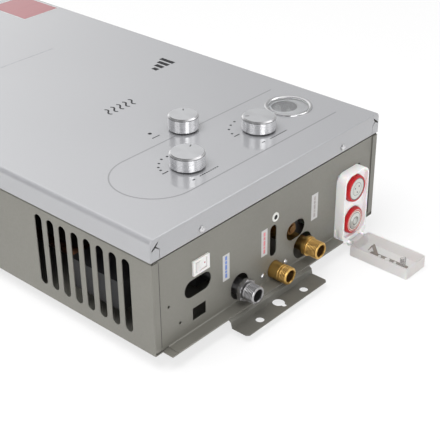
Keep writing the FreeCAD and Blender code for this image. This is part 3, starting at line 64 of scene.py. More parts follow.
class Finish:
    """A surface finish that is built up node by node. Noise scales are grains to the metre."""

    def __init__(self, name, colour, roughness, metallic=0.0):
        self.material = bpy.data.materials.new(name)
        self.material.use_nodes = True
        self.tree = self.material.node_tree
        self.shader = self.tree.nodes["Principled BSDF"]
        self.set("Base Color", (*colour, 1))
        self.set("Roughness", roughness)
        self.set("Metallic", metallic)
        self.place = self.node("ShaderNodeTexCoord").outputs["Object"]
        self.relief = None

    def set(self, socket, value):
        self.shader.inputs[socket].default_value = value

    def node(self, kind, links=(), **settings):
        return add_node(self.tree, kind, links, **settings)

    def stretched(self, scale):
        """The place on the piece, stretched so that a noise turns into grain lines."""
        return self.node("ShaderNodeMapping", {"Vector": self.place, "Scale": scale}).outputs[0]

    def noise(self, scale, detail=2.0, at=None, roughness=0.5):
        links = {"Vector": at or self.place, "Scale": scale, "Detail": detail,
                 "Roughness": roughness}
        return self.node("ShaderNodeTexNoise", links).outputs["Fac"]

    def spread(self, source, low, high, start=0.3, finish=0.7):
        """Maps a noise onto a range of values."""
        links = {"Value": source, "From Min": start, "From Max": finish, "To Min": low,
                 "To Max": high}
        return self.node("ShaderNodeMapRange", links).outputs["Result"]

    def tint(self, factor, first, second):
        """Two colours mixed by a factor into the base colour."""
        mix = self.node("ShaderNodeMix", {"Factor": factor}, data_type="RGBA")
        for socket, colour in ((6, first), (7, second)):
            mix.inputs[socket].default_value = (*colour, 1)
        self.tree.links.new(mix.outputs[2], self.shader.inputs["Base Color"])

    def vary_colour(self, scale, first, second, detail=2.0):
        """A faint mottle of two tones."""
        self.tint(self.spread(self.noise(scale, detail), 0, 1), first, second)

    def rough(self, source):
        self.tree.links.new(source, self.shader.inputs["Roughness"])

    def vary_gloss(self, scale, low, high, detail=2.0):
        """A roughness that wanders between two levels, the lower one the glossier."""
        self.rough(self.spread(self.noise(scale, detail), low, high))

    def bump(self, height, strength, distance):
        """Adds a layer of relief under those that are there."""
        links = {"Height": height, "Strength": strength, "Distance": distance}
        if self.relief:
            links["Normal"] = self.relief
        self.relief = self.node("ShaderNodeBump", links).outputs["Normal"]
        self.tree.links.new(self.relief, self.shader.inputs["Normal"])

    def grain(self, scale, strength, distance, detail=2.0):
        """Fine relief over the whole surface."""
        self.bump(self.noise(scale, detail), strength, distance)

    def soft_edges(self, radius):
        """Rounds the sharp edges of folded or moulded stock where the light catches them."""
        self.relief = self.node("ShaderNodeBevel", {"Radius": radius}, samples=4).outputs[0]
        self.tree.links.new(self.relief, self.shader.inputs["Normal"])

    def film(self, roughness):
        """A clear gloss film over the colour."""
        self.set("Coat Weight", 1.0)
        self.set("Coat Roughness", roughness)


def dress(finish, *nodes):
    """Gives CAD nodes a finish."""
    for name in nodes:
        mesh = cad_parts[name].data
        mesh.materials.clear()
        mesh.materials.append(finish.material)


cover_coat = Finish("silver_cover_coat", COVER_GREY, 0.34, 0.2)
cover_coat.soft_edges(0.0005)
cover_coat.vary_colour(3.0, COVER_GREY, COVER_GREY_SHADE, 1.0)
cover_coat.vary_gloss(2600.0, 0.27, 0.36)
cover_coat.grain(260.0, 0.06, 0.0002, 1.0)
cover_coat.film(0.03)
cover_coat.set("Coat IOR", 1.8)
dress(cover_coat, "front_cover")

# Case panels and wall brackets. Folded steel sheet under a satin olive-grey powder coat with a
# fine grain, softened at the folds. The brackets are riveted on, and their coat is painted
# darker, painted shade for the shade that falls on them.
PANEL_OLIVE = (0.222, 0.216, 0.19)
PANEL_OLIVE_SHADE = (0.202, 0.196, 0.173)
# Painted shade: the brackets' olive is darker than the panels' for the shade on them.
BRACKET_OLIVE_PAINTED_SHADE = (0.15, 0.146, 0.128)
BRACKET_MOTTLE_PAINTED_SHADE = (0.135, 0.131, 0.115)


def powder_coat(name, tone, shade, mottle, low, high):
    """A satin powder coat: a mottle of two tones, and roughness from low to high."""
    coat = Finish(name, tone, 0.42, 0.25)
    coat.soft_edges(0.0007)
    coat.vary_colour(mottle, tone, shade, 3.0)
    coat.vary_gloss(420.0, low, high, 3.0)
    coat.grain(1900.0, 0.16, 0.00012, 3.0)
    return coat


panel_coat = powder_coat("olive_powder_coat", PANEL_OLIVE, PANEL_OLIVE_SHADE, 9.0, 0.36, 0.5)
dress(panel_coat, "left_side_panel", "right_side_panel", "bottom_panel", "top_panel",
      "back_panel")
bracket_shaded_coat = powder_coat("bracket_powder_coat_painted_shade", BRACKET_OLIVE_PAINTED_SHADE, BRACKET_MOTTLE_PAINTED_SHADE, 12.0,
                           0.38, 0.52)
dress(bracket_shaded_coat, "lower_wall_bracket", "upper_wall_bracket")

# Cover screws and bracket rivets. Zinc-plated pan-head screws with a cross recess hold the
# cover's lips; blind rivets with domed heads hold the brackets to the back panel.
PIPE_END = 0.031
FLUE_END = 0.701
SCREW_HEAD_RADIUS = 0.0039
SCREW_HEAD_HEIGHT = 0.0022
SCREW_COLUMNS = (-0.121, 0.122)
SCREW_LEVEL = 0.1315

zinc = Finish("zinc_plate", (0.62, 0.62, 0.63), 0.28, 1.0)
zinc.vary_gloss(900.0, 0.2, 0.4, 3.0)
zinc.grain(1500.0, 0.1, 0.0001)
dress(zinc, "bracket_rivets", "case_contact_plate")


def finish_piece(name, mesh, finishes, body, replaced=(), sharp=35, stands_at=None):
    """Puts a mesh in the scene as a piece of the heater.

    A piece whose turning marks run round its own axis stands at a place. The mesh of any
    other piece is in its place already.
    """
    mesh.name = name
    for polygon in mesh.polygons:
        polygon.use_smooth = True
    mesh.set_sharp_from_angle(angle=math.radians(sharp))
    for finish in finishes:
        mesh.materials.append(finish.material)
    piece = bpy.data.objects.new(name, mesh)
    bpy.context.scene.collection.objects.link(piece)
    if stands_at:
        piece.matrix_world = stands_at
    if replaced:
        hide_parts(*replaced)
    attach(piece, body)


def turn(rows, steps=64, warp=None, tool=None):
    """Turns rows of (radius, height, finish number) about Z, as on a lathe.

    The finish number may be left out, and warp gives a point's radius from its row's radius
    and height and its angle.
    """
    shape = tool or bmesh.new()
    rings = []
    for radius, height, *_ in rows:
        if radius == 0:
            rings.append([shape.verts.new((0, 0, height))])
            continue
        ring = []
        for step in range(steps):
            angle = 2 * math.pi * step / steps
            out = warp(radius, height, angle) if warp else radius
            ring.append(shape.verts.new((out * math.cos(angle), out * math.sin(angle), height)))
        rings.append(ring)
    for number, (low, high) in enumerate(zip(rings, rings[1:])):
        for step in range(steps):
            after = (step + 1) % steps
            corners = [low[step % len(low)], low[after % len(low)], high[after % len(high)],
                       high[step % len(high)]]
            corners = list(dict.fromkeys(corners))
            if len(corners) > 2:
                face = shape.faces.new(corners)
                face.material_index = rows[number][2] if len(rows[number]) > 2 else 0
    return shape


def turn_at(shape, where, rows, steps, warp=None):
    """Turns rows into a shape that is there already, and moves them to their place."""
    made_before = set(shape.verts)
    turn(rows, steps, warp, shape)
    for vertex in shape.verts:
        if vertex not in made_before:
            vertex.co = where @ vertex.co


def as_mesh(shape, where=None):
    """Closes a bmesh and moves it to its place."""
    if where is not None:
        shape.transform(where)
    bmesh.ops.recalc_face_normals(shape, faces=shape.faces)
    mesh = bpy.data.meshes.new("piece")
    shape.to_mesh(mesh)
    shape.free()
    return mesh


def facing(way):
    """Turns +Z to the pipe end (-1) or to the flue end (1)."""
    return Matrix.Rotation(math.radians(-90 * way), 4, "X")


def cross_recess(radius, height, angle):
    """Draws the recess in the screw's head in to a cross."""
    in_recess = 0 < radius < SCREW_HEAD_RADIUS * 0.6
    if in_recess and SCREW_HEAD_HEIGHT * 0.2 < height < SCREW_HEAD_HEIGHT:
        return radius * (0.55 + 0.45 * abs(math.cos(2 * angle)) ** 3)
    return radius


shank = [(0, -0.004), (0.0015, -0.004), (0.0015, 0)]
head = [(1, 0), (1, 0.35), (0.92, 0.7), (0.7, 0.93), (0.62, 1), (0.5, 0.9)]
recess = [(0.0006, SCREW_HEAD_HEIGHT * 0.3), (0, SCREW_HEAD_HEIGHT * 0.3)]
head_rows = [(SCREW_HEAD_RADIUS * out, SCREW_HEAD_HEIGHT * up) for out, up in head]
screws = bmesh.new()
for y, way in ((PIPE_END, -1), (FLUE_END, 1)):
    for x in SCREW_COLUMNS:
        where = Matrix.Translation((x, y, SCREW_LEVEL)) @ facing(way)
        turn_at(screws, where, shank + head_rows + recess, 24, cross_recess)
finish_piece("cover_screw_heads", as_mesh(screws), [zinc], "heater",
             ["cover_screws"])

# Printed marks on the cover. A screen-printed grey outline frames the controls, with dots,
# dashes, heat strokes and bars in near-black ink, and a plain red panel at the flue end.
MM = 0.001
COVER_TOP = 0.151
PRINT_LIFT = 0.00006
CASE_WIDTH = 390

ink = Finish("grey_screen_ink", (0.2, 0.2, 0.21), 0.4)
ink.vary_gloss(700.0, 0.35, 0.5)
ink.film(0.06)
dark_ink = Finish("dark_screen_ink", (0.012, 0.012, 0.014), 0.5)
dark_ink.vary_gloss(700.0, 0.42, 0.56)
dark_ink.set("Specular IOR Level", 0.2)


def on_cover(x, y):
    """A printed point, measured in millimetres from the cover's lower left corner."""
    return Vector(((x - CASE_WIDTH / 2) * MM, y * MM + PIPE_END, COVER_TOP + PRINT_LIFT))


def ribbon(shape, points, width, closed=False):
    """Lays a flat stroke along points of the cover, its width in millimetres."""
    spots = [on_cover(*point) for point in points]
    half = width * MM / 2
    sides = []
    for number, spot in enumerate(spots):
        if closed:
            before, after = spots[number - 1], spots[(number + 1) % len(spots)]
        else:
            before, after = spots[max(number - 1, 0)], spots[min(number + 1, len(spots) - 1)]
        way = (after - before).normalized()
        out = Vector((-way.y, way.x, 0)) * half
        sides.append((shape.verts.new(spot - out), shape.verts.new(spot + out)))
    pairs = zip(sides, sides[1:] + (sides[:1] if closed else []))
    for (low, high), (next_low, next_high) in pairs:
        shape.faces.new((low, next_low, next_high, high))


def dash(shape, x, y, length, width):
    """Prints a dash across the cover."""
    ribbon(shape, [(x, y), (x + length, y)], width)


def dot(shape, x, y, radius, steps=14):
    """Prints a round dot."""
    ring = [shape.verts.new(on_cover(x + radius * math.cos(2 * math.pi * n / steps),
                                     y + radius * math.sin(2 * math.pi * n / steps)))
            for n in range(steps)]
    shape.faces.new(ring)


def print_piece(name, shape, finish):
    """Puts a printed mark on the cover."""
    finish_piece(name, as_mesh(shape), [finish], "heater")


OUTLINE_RIGHT = 356
OUTLINE_BEND = 100
OUTLINE_BULGE = 51
OUTLINE_MIDDLE = 90
OUTLINE_RISE = 50.5
OUTLINE_WIDTH = 1.7
control_outline = bmesh.new()
arc = [(OUTLINE_BEND + OUTLINE_BULGE * math.cos(math.radians(a)),
        OUTLINE_MIDDLE + OUTLINE_RISE * math.sin(math.radians(a))) for a in range(90, 271, 6)]
ends = [(OUTLINE_RIGHT, OUTLINE_MIDDLE + rise) for rise in (OUTLINE_RISE, -OUTLINE_RISE)]
ribbon(control_outline, [ends[0], *arc, ends[1]], OUTLINE_WIDTH)
print_piece("control_outline", control_outline, ink)

# Each row is a place on the cover; the dashes have a length too.
DIAL_DOTS = ((131, 112), (122, 107), (112, 94.5), (140, 112), (256, 114), (246, 111),
             (236, 105), (230, 95), (115, 101))
DIAL_DOT_RADIUS = 1.5
SEASON_DOT = (168, 167, 2.4)
DIAL_DASHES = ((107, 87, 9), (226, 88, 9), (161, 156, 12), (118, 53, 4), (235, 54, 5))
DIAL_DASH_WIDTH = 1.4
LEGEND_STARTS = (130, 249)
LEGEND_LEVEL = 53.5
LEGEND_DASHES = 9
LEGEND_PITCH = 3.4
LEGEND_LENGTH = 2.3
LEGEND_WIDTH = 1.5
dial_marks = bmesh.new()
for x, y in DIAL_DOTS:
    dot(dial_marks, x, y, DIAL_DOT_RADIUS)
dot(dial_marks, *SEASON_DOT)
for x, y, length in DIAL_DASHES:
    dash(dial_marks, x, y, length, DIAL_DASH_WIDTH)
for start in LEGEND_STARTS:
    for number in range(LEGEND_DASHES):
        dash(dial_marks, start + number * LEGEND_PITCH, LEGEND_LEVEL, LEGEND_LENGTH,
             LEGEND_WIDTH)
print_piece("dial_marks", dial_marks, dark_ink)

HEAT_STROKES = 5
STROKE_LEFT = 178.5
STROKE_PITCH = 9.8
STROKE_TOP = 255
STROKE_STEP = 1.35
STROKE_SWAY = 2.6
STROKE_LEAN = 0.5 / 3
STROKE_WIDTH = 2.1
SIZE_BARS = 4
BAR_LEFT = 309
BAR_PITCH = 10
BAR_LEVEL = 293
BAR_HEIGHT = 9
BAR_RISE = 5
BAR_WIDTH = 6.5
heat_marks = bmesh.new()
for number in range(HEAT_STROKES):
    left = STROKE_LEFT + number * STROKE_PITCH
    ribbon(heat_marks, [(left + STROKE_SWAY * math.sin(math.pi * 2 * t / 12) - STROKE_LEAN * t,
                         STROKE_TOP - STROKE_STEP * t) for t in range(13)], STROKE_WIDTH)
for number in range(SIZE_BARS):
    left = BAR_LEFT + number * BAR_PITCH
    tall = BAR_HEIGHT + number * BAR_RISE
    ribbon(heat_marks, [(left, BAR_LEVEL), (left, BAR_LEVEL + tall)], BAR_WIDTH)
print_piece("heat_marks", heat_marks, dark_ink)

RULE_LEFT = 179
RULE_LEVEL = 455
RULE_GAP = 2.4
RULE_WIDTH = 1.6
rule_line = bmesh.new()
left = RULE_LEFT
for length in (12, 5, 9, 4, 10, 6, 14, 7, 9, 5, 11):
    dash(rule_line, left, RULE_LEVEL, length - RULE_GAP, RULE_WIDTH)
    left += length
print_piece("rule_line", rule_line, ink)

BADGE_RED = (0.25, 0.03, 0.04)
BADGE_RED_WORN = (0.29, 0.045, 0.055)
BADGE_LEFT = 318
BADGE_RIGHT = 380
BADGE_LOW = 575
BADGE_HIGH = 655
BORDER_MARGIN = 1.6
BORDER_WIDTH = 1.2
badge_red = Finish("red_badge_print", BADGE_RED, 0.35)
badge_lines = badge_red.noise(40.0, 2.0, badge_red.stretched((0.2, 14, 1)))
badge_red.tint(badge_red.spread(badge_lines, 0, 1), BADGE_RED, BADGE_RED_WORN)
badge_red.film(0.06)
badge_pale = Finish("pale_badge_print", (0.62, 0.61, 0.6), 0.35)
badge_pale.vary_gloss(600.0, 0.3, 0.42)
badge_pale.film(0.06)
badge = bmesh.new()
middle = (BADGE_LEFT + BADGE_RIGHT) / 2
ribbon(badge, [(middle, BADGE_LOW), (middle, BADGE_HIGH)], BADGE_RIGHT - BADGE_LEFT)
print_piece("badge_panel", badge, badge_red)
left, right = BADGE_LEFT - BORDER_MARGIN, BADGE_RIGHT + BORDER_MARGIN
low, high = BADGE_LOW - BORDER_MARGIN, BADGE_HIGH + BORDER_MARGIN
badge_border = bmesh.new()
ribbon(badge_border, [(left, low), (right, low), (right, high), (left, high)], BORDER_WIDTH,
       closed=True)
print_piece("badge_border", badge_border, badge_pale)

# Flame window. A spun, polished ring clips a flat glass over a matt grey pan, and a woven
# steel screen closes the sight hole in the pan.
WINDOW_SPOT = Vector((0.136, 0.1235, COVER_TOP))
SCREEN_SPOT = WINDOW_SPOT + Vector((0, 0.0064, -0.0039))
SCREEN_RADIUS = 0.0166
SCREEN_PITCH = 0.0013
WIRE_RADIUS = 0.00021
WIRE_WAVE = 0.00016
WIRE_SIDES = 5

polish = Finish("polished_ring", (0.6, 0.6, 0.61), 0.16, 1.0)
polish.vary_gloss(500.0, 0.12, 0.22)
dish = Finish("matt_pan_coat", (0.56, 0.545, 0.55), 0.5, 0.3)
dish.vary_gloss(300.0, 0.42, 0.6)
dish.grain(900.0, 0.1, 0.0001)
screen_steel = Finish("screen_wire", (0.36, 0.35, 0.355), 0.5, 0.5)
screen_steel.vary_gloss(900.0, 0.35, 0.55)
screen_steel.grain(2500.0, 0.2, 0.0001)
clear_glass = Finish("clear_glass", (0.93, 0.95, 0.96), 0.02)
clear_glass.set("Transmission Weight", 1.0)
clear_glass.set("IOR", 1.45)
clear_glass.vary_gloss(60.0, 0.01, 0.05)
dress(dish, "window_cup")
dress(clear_glass, "window_glass")

# The ring's section: radius and height over the cover in millimetres, once round.
ring_rows = [(24.9, -1.6), (25.5, -1.6), (25.5, 0), (29.4, 0), (29.4, 0.7), (29.2, 1.2),
             (28.7, 1.65), (28.0, 1.88), (27.2, 1.9), (26.4, 1.75), (25.6, 1.4), (24.9, 0.9)]
ring = turn([(r * MM, z * MM) for r, z in ring_rows + ring_rows[:1]], 128)
finish_piece("window_ring", as_mesh(ring, Matrix.Translation(WINDOW_SPOT)), [polish], "heater",
             ["window_bezel"])


def woven_wire(shape, offset, across, phase):
    """Weaves one wire of the screen, up and down over those that cross it."""
    reach = math.sqrt(max(SCREEN_RADIUS ** 2 - offset ** 2, 0))
    steps = max(int(reach / SCREEN_PITCH) * 4, 2)
    before = None
    for step in range(steps + 1):
        run = -reach + 2 * reach * step / steps
        wave = math.cos(math.pi * run / SCREEN_PITCH) * (-1) ** phase * WIRE_WAVE
        here = []
        for corner in range(WIRE_SIDES):
            angle = 2 * math.pi * corner / WIRE_SIDES
            aside = offset + WIRE_RADIUS * math.cos(angle)
            lift = wave + WIRE_RADIUS * math.sin(angle)
            here.append(shape.verts.new((run, aside, lift) if across else (aside, run, lift)))
        if before:
            for corner in range(WIRE_SIDES):
                after = (corner + 1) % WIRE_SIDES
                shape.faces.new((before[corner], before[after], here[after], here[corner]))
        before = here


screen = bmesh.new()
wires = int(SCREEN_RADIUS / SCREEN_PITCH)
for across in (0, 1):
    for number in range(-wires, wires + 1):
        woven_wire(screen, number * SCREEN_PITCH, across, number + across)
finish_piece("screen_mesh", as_mesh(screen, Matrix.Translation(SCREEN_SPOT)), [screen_steel],
             "heater", ["window_screen"], sharp=60)

# Control knobs. Each is a cap turned from aluminium, satin on the side and crown with a
# bright bevel, pressed over a black moulded core that leaves a dark gap above the cover.
KNOB_GAP = 1.5
KNOB_WALL = 1.6
MARK_INSET = 8
MARK_RADIUS = 0.0007
MARK_LENGTH = 0.0035
# Each row is the knob's axis in metres, its radius and height in millimetres, and the angle
# of the mark on its crown in degrees.
KNOBS = {"gas": (-0.057, 0.11, 20, 17, 28), "water": (0.064, 0.11, 20, 16.5, 138),
         "season": (0.0075, 0.177, 18, 18, 43)}


def turned_metal(name, colour, roughness, rings, strength):
    """Metal with fine turning marks round its axis."""
    metal = Finish(name, colour, roughness, 1.0)
    split = metal.node("ShaderNodeSeparateXYZ", {"Vector": metal.place})
    flat = metal.node("ShaderNodeCombineXYZ", {"X": split.outputs["X"], "Y": split.outputs["Y"]})
    radius = metal.node("ShaderNodeVectorMath", {"Vector": flat.outputs[0]}, operation="LENGTH")
    line = metal.node("ShaderNodeCombineXYZ", {"X": radius.outputs["Value"],
                                               "Z": split.outputs["Z"]})
    marks = metal.noise(rings, 3.0, line.outputs[0], 0.7)
    metal.rough(metal.spread(marks, roughness - 0.07, roughness + 0.1))
    metal.bump(marks, strength, 0.00015)
    grain = metal.node("ShaderNodeTangent", direction_type="RADIAL", axis="Z")
    metal.tree.links.new(grain.outputs[0], metal.shader.inputs["Tangent"])
    metal.set("Anisotropic", 0.7)
    metal.set("Anisotropic Rotation", 0.25)
    return metal


knob_satin = turned_metal("knob_satin", (0.92, 0.92, 0.93), 0.26, 2600.0, 0.12)
knob_crown = turned_metal("knob_crown", (0.65, 0.655, 0.67), 0.34, 2000.0, 0.1)
knob_bright = turned_metal("knob_bright", (0.7, 0.7, 0.71), 0.24, 1500.0, 0.03)
# Painted shade: the groove under each knob's bevel is near-black. The indicator mark on the crown
# is a real dark mark in the same finish.
knob_groove_shade_and_mark = Finish("knob_painted_groove_shade_and_mark", (0.05, 0.05, 0.052), 0.5)
knob_groove_shade_and_mark.vary_gloss(800.0, 0.4, 0.6)
black_plastic = Finish("black_moulding", (0.022, 0.022, 0.024), 0.42)
black_plastic.vary_gloss(650.0, 0.36, 0.5)
black_plastic.grain(2200.0, 0.12, 0.0001)
dress(black_plastic, "gas_knob_core", "water_knob_core", "season_knob_core",
      "flow_microswitch", "igniter_box")
dress(zinc, "gas_spindle", "water_spindle", "season_spindle")


def knob_profile(radius, height):
    """The cap's section from the bore out: satin side, a groove coloured near-black as painted
    shade, bright bevel and crown.
    """
    satin, bright, shadow, crown = range(4)
    top = KNOB_GAP + height
    rows = [(0, top - 2, satin), (radius - KNOB_WALL, top - 2, satin),
            (radius - KNOB_WALL, 2.3, satin), (radius - 0.3, 2.3, satin), (radius, 2.6, satin),
            (radius, top - 2.5, shadow), (radius - 0.25, top - 2.4, shadow),
            (radius - 0.25, top - 2.0, shadow), (radius, top - 1.9, bright),
            (radius, top - 1.6, bright), (radius - 1.6, top - 0.1, bright),
            (radius - 1.7, top, crown), (radius * 0.6, top, crown), (radius * 0.3, top, crown),
            (0, top, crown)]
    return [(out * MM, up * MM, band) for out, up, band in rows]


for word, (x, y, radius, height, angle) in KNOBS.items():
    body = f"{word}_control"
    where = Matrix.Translation((x, y, COVER_TOP))
    finish_piece(f"{word}_knob_cap", as_mesh(turn(knob_profile(radius, height), 128)),
                 [knob_satin, knob_bright, knob_groove_shade_and_mark, knob_crown], body,
                 [f"{word}_knob"], stands_at=where)
    mark = turn([(0, 0.00002), (MARK_RADIUS, 0.00002), (MARK_RADIUS, 0.00006), (0, 0.00006)], 16)
    for vertex in mark.verts:
        if vertex.co.x > 0:
            vertex.co.x += MARK_LENGTH
    rim_spot = ((radius - MARK_INSET) * MM, 0, (KNOB_GAP + height) * MM - 0.00004)
    aim = Matrix.Rotation(math.radians(angle), 4, "Z") @ Matrix.Translation(rim_spot)
    finish_piece(f"{word}_knob_mark", as_mesh(mark, where @ aim), [knob_groove_shade_and_mark], body)

# Rocker switch. A white snap-in housing with a bevelled rim round a rocker of the same
# plastic, which has a printed red dot on its right half.
white_plastic = Finish("white_switch_plastic", (0.8, 0.79, 0.77), 0.32)
white_plastic.soft_edges(0.0004)
white_plastic.vary_gloss(500.0, 0.27, 0.4)
white_plastic.grain(1500.0, 0.06, 0.0001)
white_plastic.set("Subsurface Weight", 0.1)
white_plastic.set("Subsurface Scale", 0.002)
dress(white_plastic, "switch_housing", "switch_rocker")
red_ink = Finish("red_dot_ink", (0.45, 0.03, 0.03), 0.4)
red_ink.vary_gloss(900.0, 0.35, 0.5)
SWITCH_PIVOT = Vector((-0.123, 0.0325, 0.0896))
ROCKER_TIP = math.radians(10)
ROCKER_SLOPE = math.atan2(-1.45, 8.2)
DOT_RADIUS = 0.0009
DOT_THICKNESS = 0.00008
DOT_SPOT = (0.0055, -0.00259, 0.0)
switch_dot = turn([(0, 0), (DOT_RADIUS, 0), (DOT_RADIUS, DOT_THICKNESS), (0, DOT_THICKNESS)], 20)
place_dot = (Matrix.Translation(SWITCH_PIVOT) @ Matrix.Rotation(ROCKER_TIP, 4, "Z")
             @ Matrix.Translation(DOT_SPOT) @ Matrix.Rotation(ROCKER_SLOPE, 4, "Z")
             @ facing(-1))
finish_piece("switch_dot", as_mesh(switch_dot, place_dot), [red_ink], "rocker")

# Battery case and door. Both are moulded in milky polypropylene: the case is nearly opaque,
# and the thin-walled door lets light through. A dull contact strip lies in the door, and
# plated coil springs press on the cells.
case_plastic = Finish("milky_case_plastic", (0.95, 0.935, 0.94), 0.34)
case_plastic.soft_edges(0.0008)
case_plastic.vary_gloss(300.0, 0.28, 0.42)
case_plastic.grain(1100.0, 0.08, 0.0001)
case_plastic.set("Subsurface Weight", 0.25)
case_plastic.set("Subsurface Scale", 0.004)
dress(case_plastic, "battery_case")
door_plastic = Finish("frosted_door_plastic", (0.87, 0.845, 0.835), 0.36)
door_plastic.soft_edges(0.0006)
door_plastic.vary_gloss(260.0, 0.32, 0.48)
door_plastic.grain(1000.0, 0.1, 0.0001)
door_plastic.set("Transmission Weight", 0.6)
door_plastic.set("IOR", 1.49)
door_plastic.set("Subsurface Weight", 0.15)
door_plastic.set("Subsurface Scale", 0.006)
dress(door_plastic, "battery_door")
spring_steel = Finish("plated_spring_steel", (0.55, 0.54, 0.53), 0.25, 1.0)
spring_steel.vary_gloss(1200.0, 0.18, 0.34)
spring_steel.vary_colour(200.0, (0.58, 0.57, 0.56), (0.46, 0.45, 0.43))
dress(spring_steel, "door_coil_spring", "case_coil_spring", "door_hinge_pin")
strip_steel = Finish("dull_contact_steel", (0.36, 0.33, 0.3), 0.36, 0.9)
strip_steel.vary_gloss(900.0, 0.34, 0.52)
dress(strip_steel, "door_contact_strip")

# Dry cells. Steel cans in a red jacket that is shrunk on and curls over the rims. The upper
# cell shows its flat base, the lower one its button end with a pale insulating washer.
jacket = Finish("red_cell_jacket", (0.52, 0.007, 0.012), 0.36)
jacket.vary_colour(120.0, (0.55, 0.008, 0.013), (0.45, 0.005, 0.009))
jacket.set("Specular IOR Level", 0.35)
jacket.grain(400.0, 0.15, 0.0002)
can_steel = turned_metal("cell_can_steel", (0.66, 0.67, 0.64), 0.34, 700.0, 0.2)
# Painted shade: dark grey steel in the can's creases. Every other dot on the end that shows takes
# it too.
can_groove_shade = Finish("cell_groove_shade", (0.16, 0.162, 0.155), 0.5, 0.6)
can_groove_shade.vary_gloss(800.0, 0.4, 0.6)
washer = Finish("pale_cell_washer", (0.72, 0.66, 0.6), 0.5)
washer.vary_gloss(700.0, 0.42, 0.6)
CELL_X = 0.139
CELL_DOTS = 6
CELL_DOT_REACH = 0.0044
CELL_DOT_RADIUS = 0.001
# The can's section from the middle of its button end to the middle of its base: radius and
# height in millimetres, and which of the four finishes the band has.
SHRINK, CAN, WASHER, GROOVE_SHADE = range(4)
CELL_ROWS = [(0, 1.5, CAN), (3.2, 1.5, CAN), (4.4, 1.3, CAN), (4.8, 0.9, CAN),
             (4.8, 0, GROOVE_SHADE), (5.6, 0.05, CAN), (9, 0.35, CAN), (10, 0.9, GROOVE_SHADE),
             (10.8, 1.1, WASHER), (12.4, 1.1, SHRINK), (13.4, 1.1, WASHER),
             (14.2, 1.15, SHRINK), (15.5, 1.5, SHRINK), (16.4, 1.9, SHRINK),
             (17.0, 2.9, SHRINK), (17.1, 3.6, SHRINK), (17.1, 20, SHRINK), (17.1, 40, SHRINK),
             (17.1, 58.2, SHRINK), (16.9, 59.6, SHRINK), (16.2, 60.9, SHRINK),
             (15.5, 61.5, SHRINK), (14.6, 61.45, SHRINK), (14.2, 61.2, GROOVE_SHADE),
             (13.6, 61.0, GROOVE_SHADE), (13.0, 60.9, CAN), (12.4, 61.15, CAN), (9, 61.15, CAN),
             (8.4, 60.9, GROOVE_SHADE), (7.9, 60.9, CAN), (7.2, 61.1, CAN), (0, 61.1, CAN)]
# Each row is a piece, its node and body, the place of its button end along Y and up Z, the
# way that its base faces, and the level of the dots on the end that shows.
CELLS = (("upper_cell_can", "upper_cell", "first_cell", 0.0795, 0.0735, -1, 0.0612),
         ("lower_cell_can", "lower_cell", "second_cell", 0.018, 0.0295, 1, 0.0014))
for name, node, body, y, z, way, dot_level in CELLS:
    can = turn([(out * MM, up * MM, band) for out, up, band in CELL_ROWS], 80)
    for number in range(CELL_DOTS):
        angle = 2 * math.pi * number / CELL_DOTS + 0.6
        band = WASHER if number % 2 else GROOVE_SHADE
        spot = (CELL_DOT_REACH * math.cos(angle), CELL_DOT_REACH * math.sin(angle), dot_level)
        turn_at(can, Matrix.Translation(spot), [(CELL_DOT_RADIUS, -0.0004, band),
                                                (CELL_DOT_RADIUS, 0.00008, band),
                                                (0, 0.00008, band)], 12)
    finish_piece(name, as_mesh(can), [jacket, can_steel, washer, can_groove_shade], body,
                 [node],
                 stands_at=Matrix.Translation((CELL_X, y, z)) @ facing(way))

# Pipe ends. Machined brass and plated steel with a half-inch pipe thread, a chamfered mouth and a
# plain bore, dull inside. The bore and the thread's roots are painted dark, painted shade. The
# gas end has a hexagon nut behind its thread.
THREAD_PITCH = 0.001814
THREAD_DEPTH = 0.001
THREAD_RADIUS = 0.01048
CREST_DROP = 0.0012
MOUTH_BORE = 0.0073

brass = Finish("turned_brass", (0.62, 0.39, 0.12), 0.26, 1.0)
brass.vary_colour(40.0, (0.66, 0.42, 0.14), (0.58, 0.36, 0.1))
brass.vary_gloss(300.0, 0.3, 0.4)
brass.grain(1600.0, 0.03, 0.00005)
nickel = Finish("nickel_plate", (0.4, 0.395, 0.4), 0.36, 1.0)
nickel.vary_colour(60.0, (0.44, 0.435, 0.44), (0.35, 0.345, 0.35))
nickel.vary_gloss(300.0, 0.3, 0.42)
nickel.grain(1500.0, 0.04, 0.00005)
# Painted shade: darkened brass and steel for the bores and the thread roots. The drain plug and
# the water valve take the same darkened brass.
brass_bore_shade = Finish("dull_brass_painted_shade", (0.2, 0.11, 0.04), 0.5, 0.8)
brass_bore_shade.vary_gloss(400.0, 0.42, 0.6, 3.0)
nickel_bore_shade = Finish("steel_bore_painted_shade", (0.1, 0.1, 0.102), 0.5, 0.8)
nickel_bore_shade.vary_gloss(400.0, 0.42, 0.6, 3.0)
dress(brass, "hot_outlet_flange")
dress(brass_bore_shade, "drain_plug", "water_valve")
dress(zinc, "outlet_flange_screws")


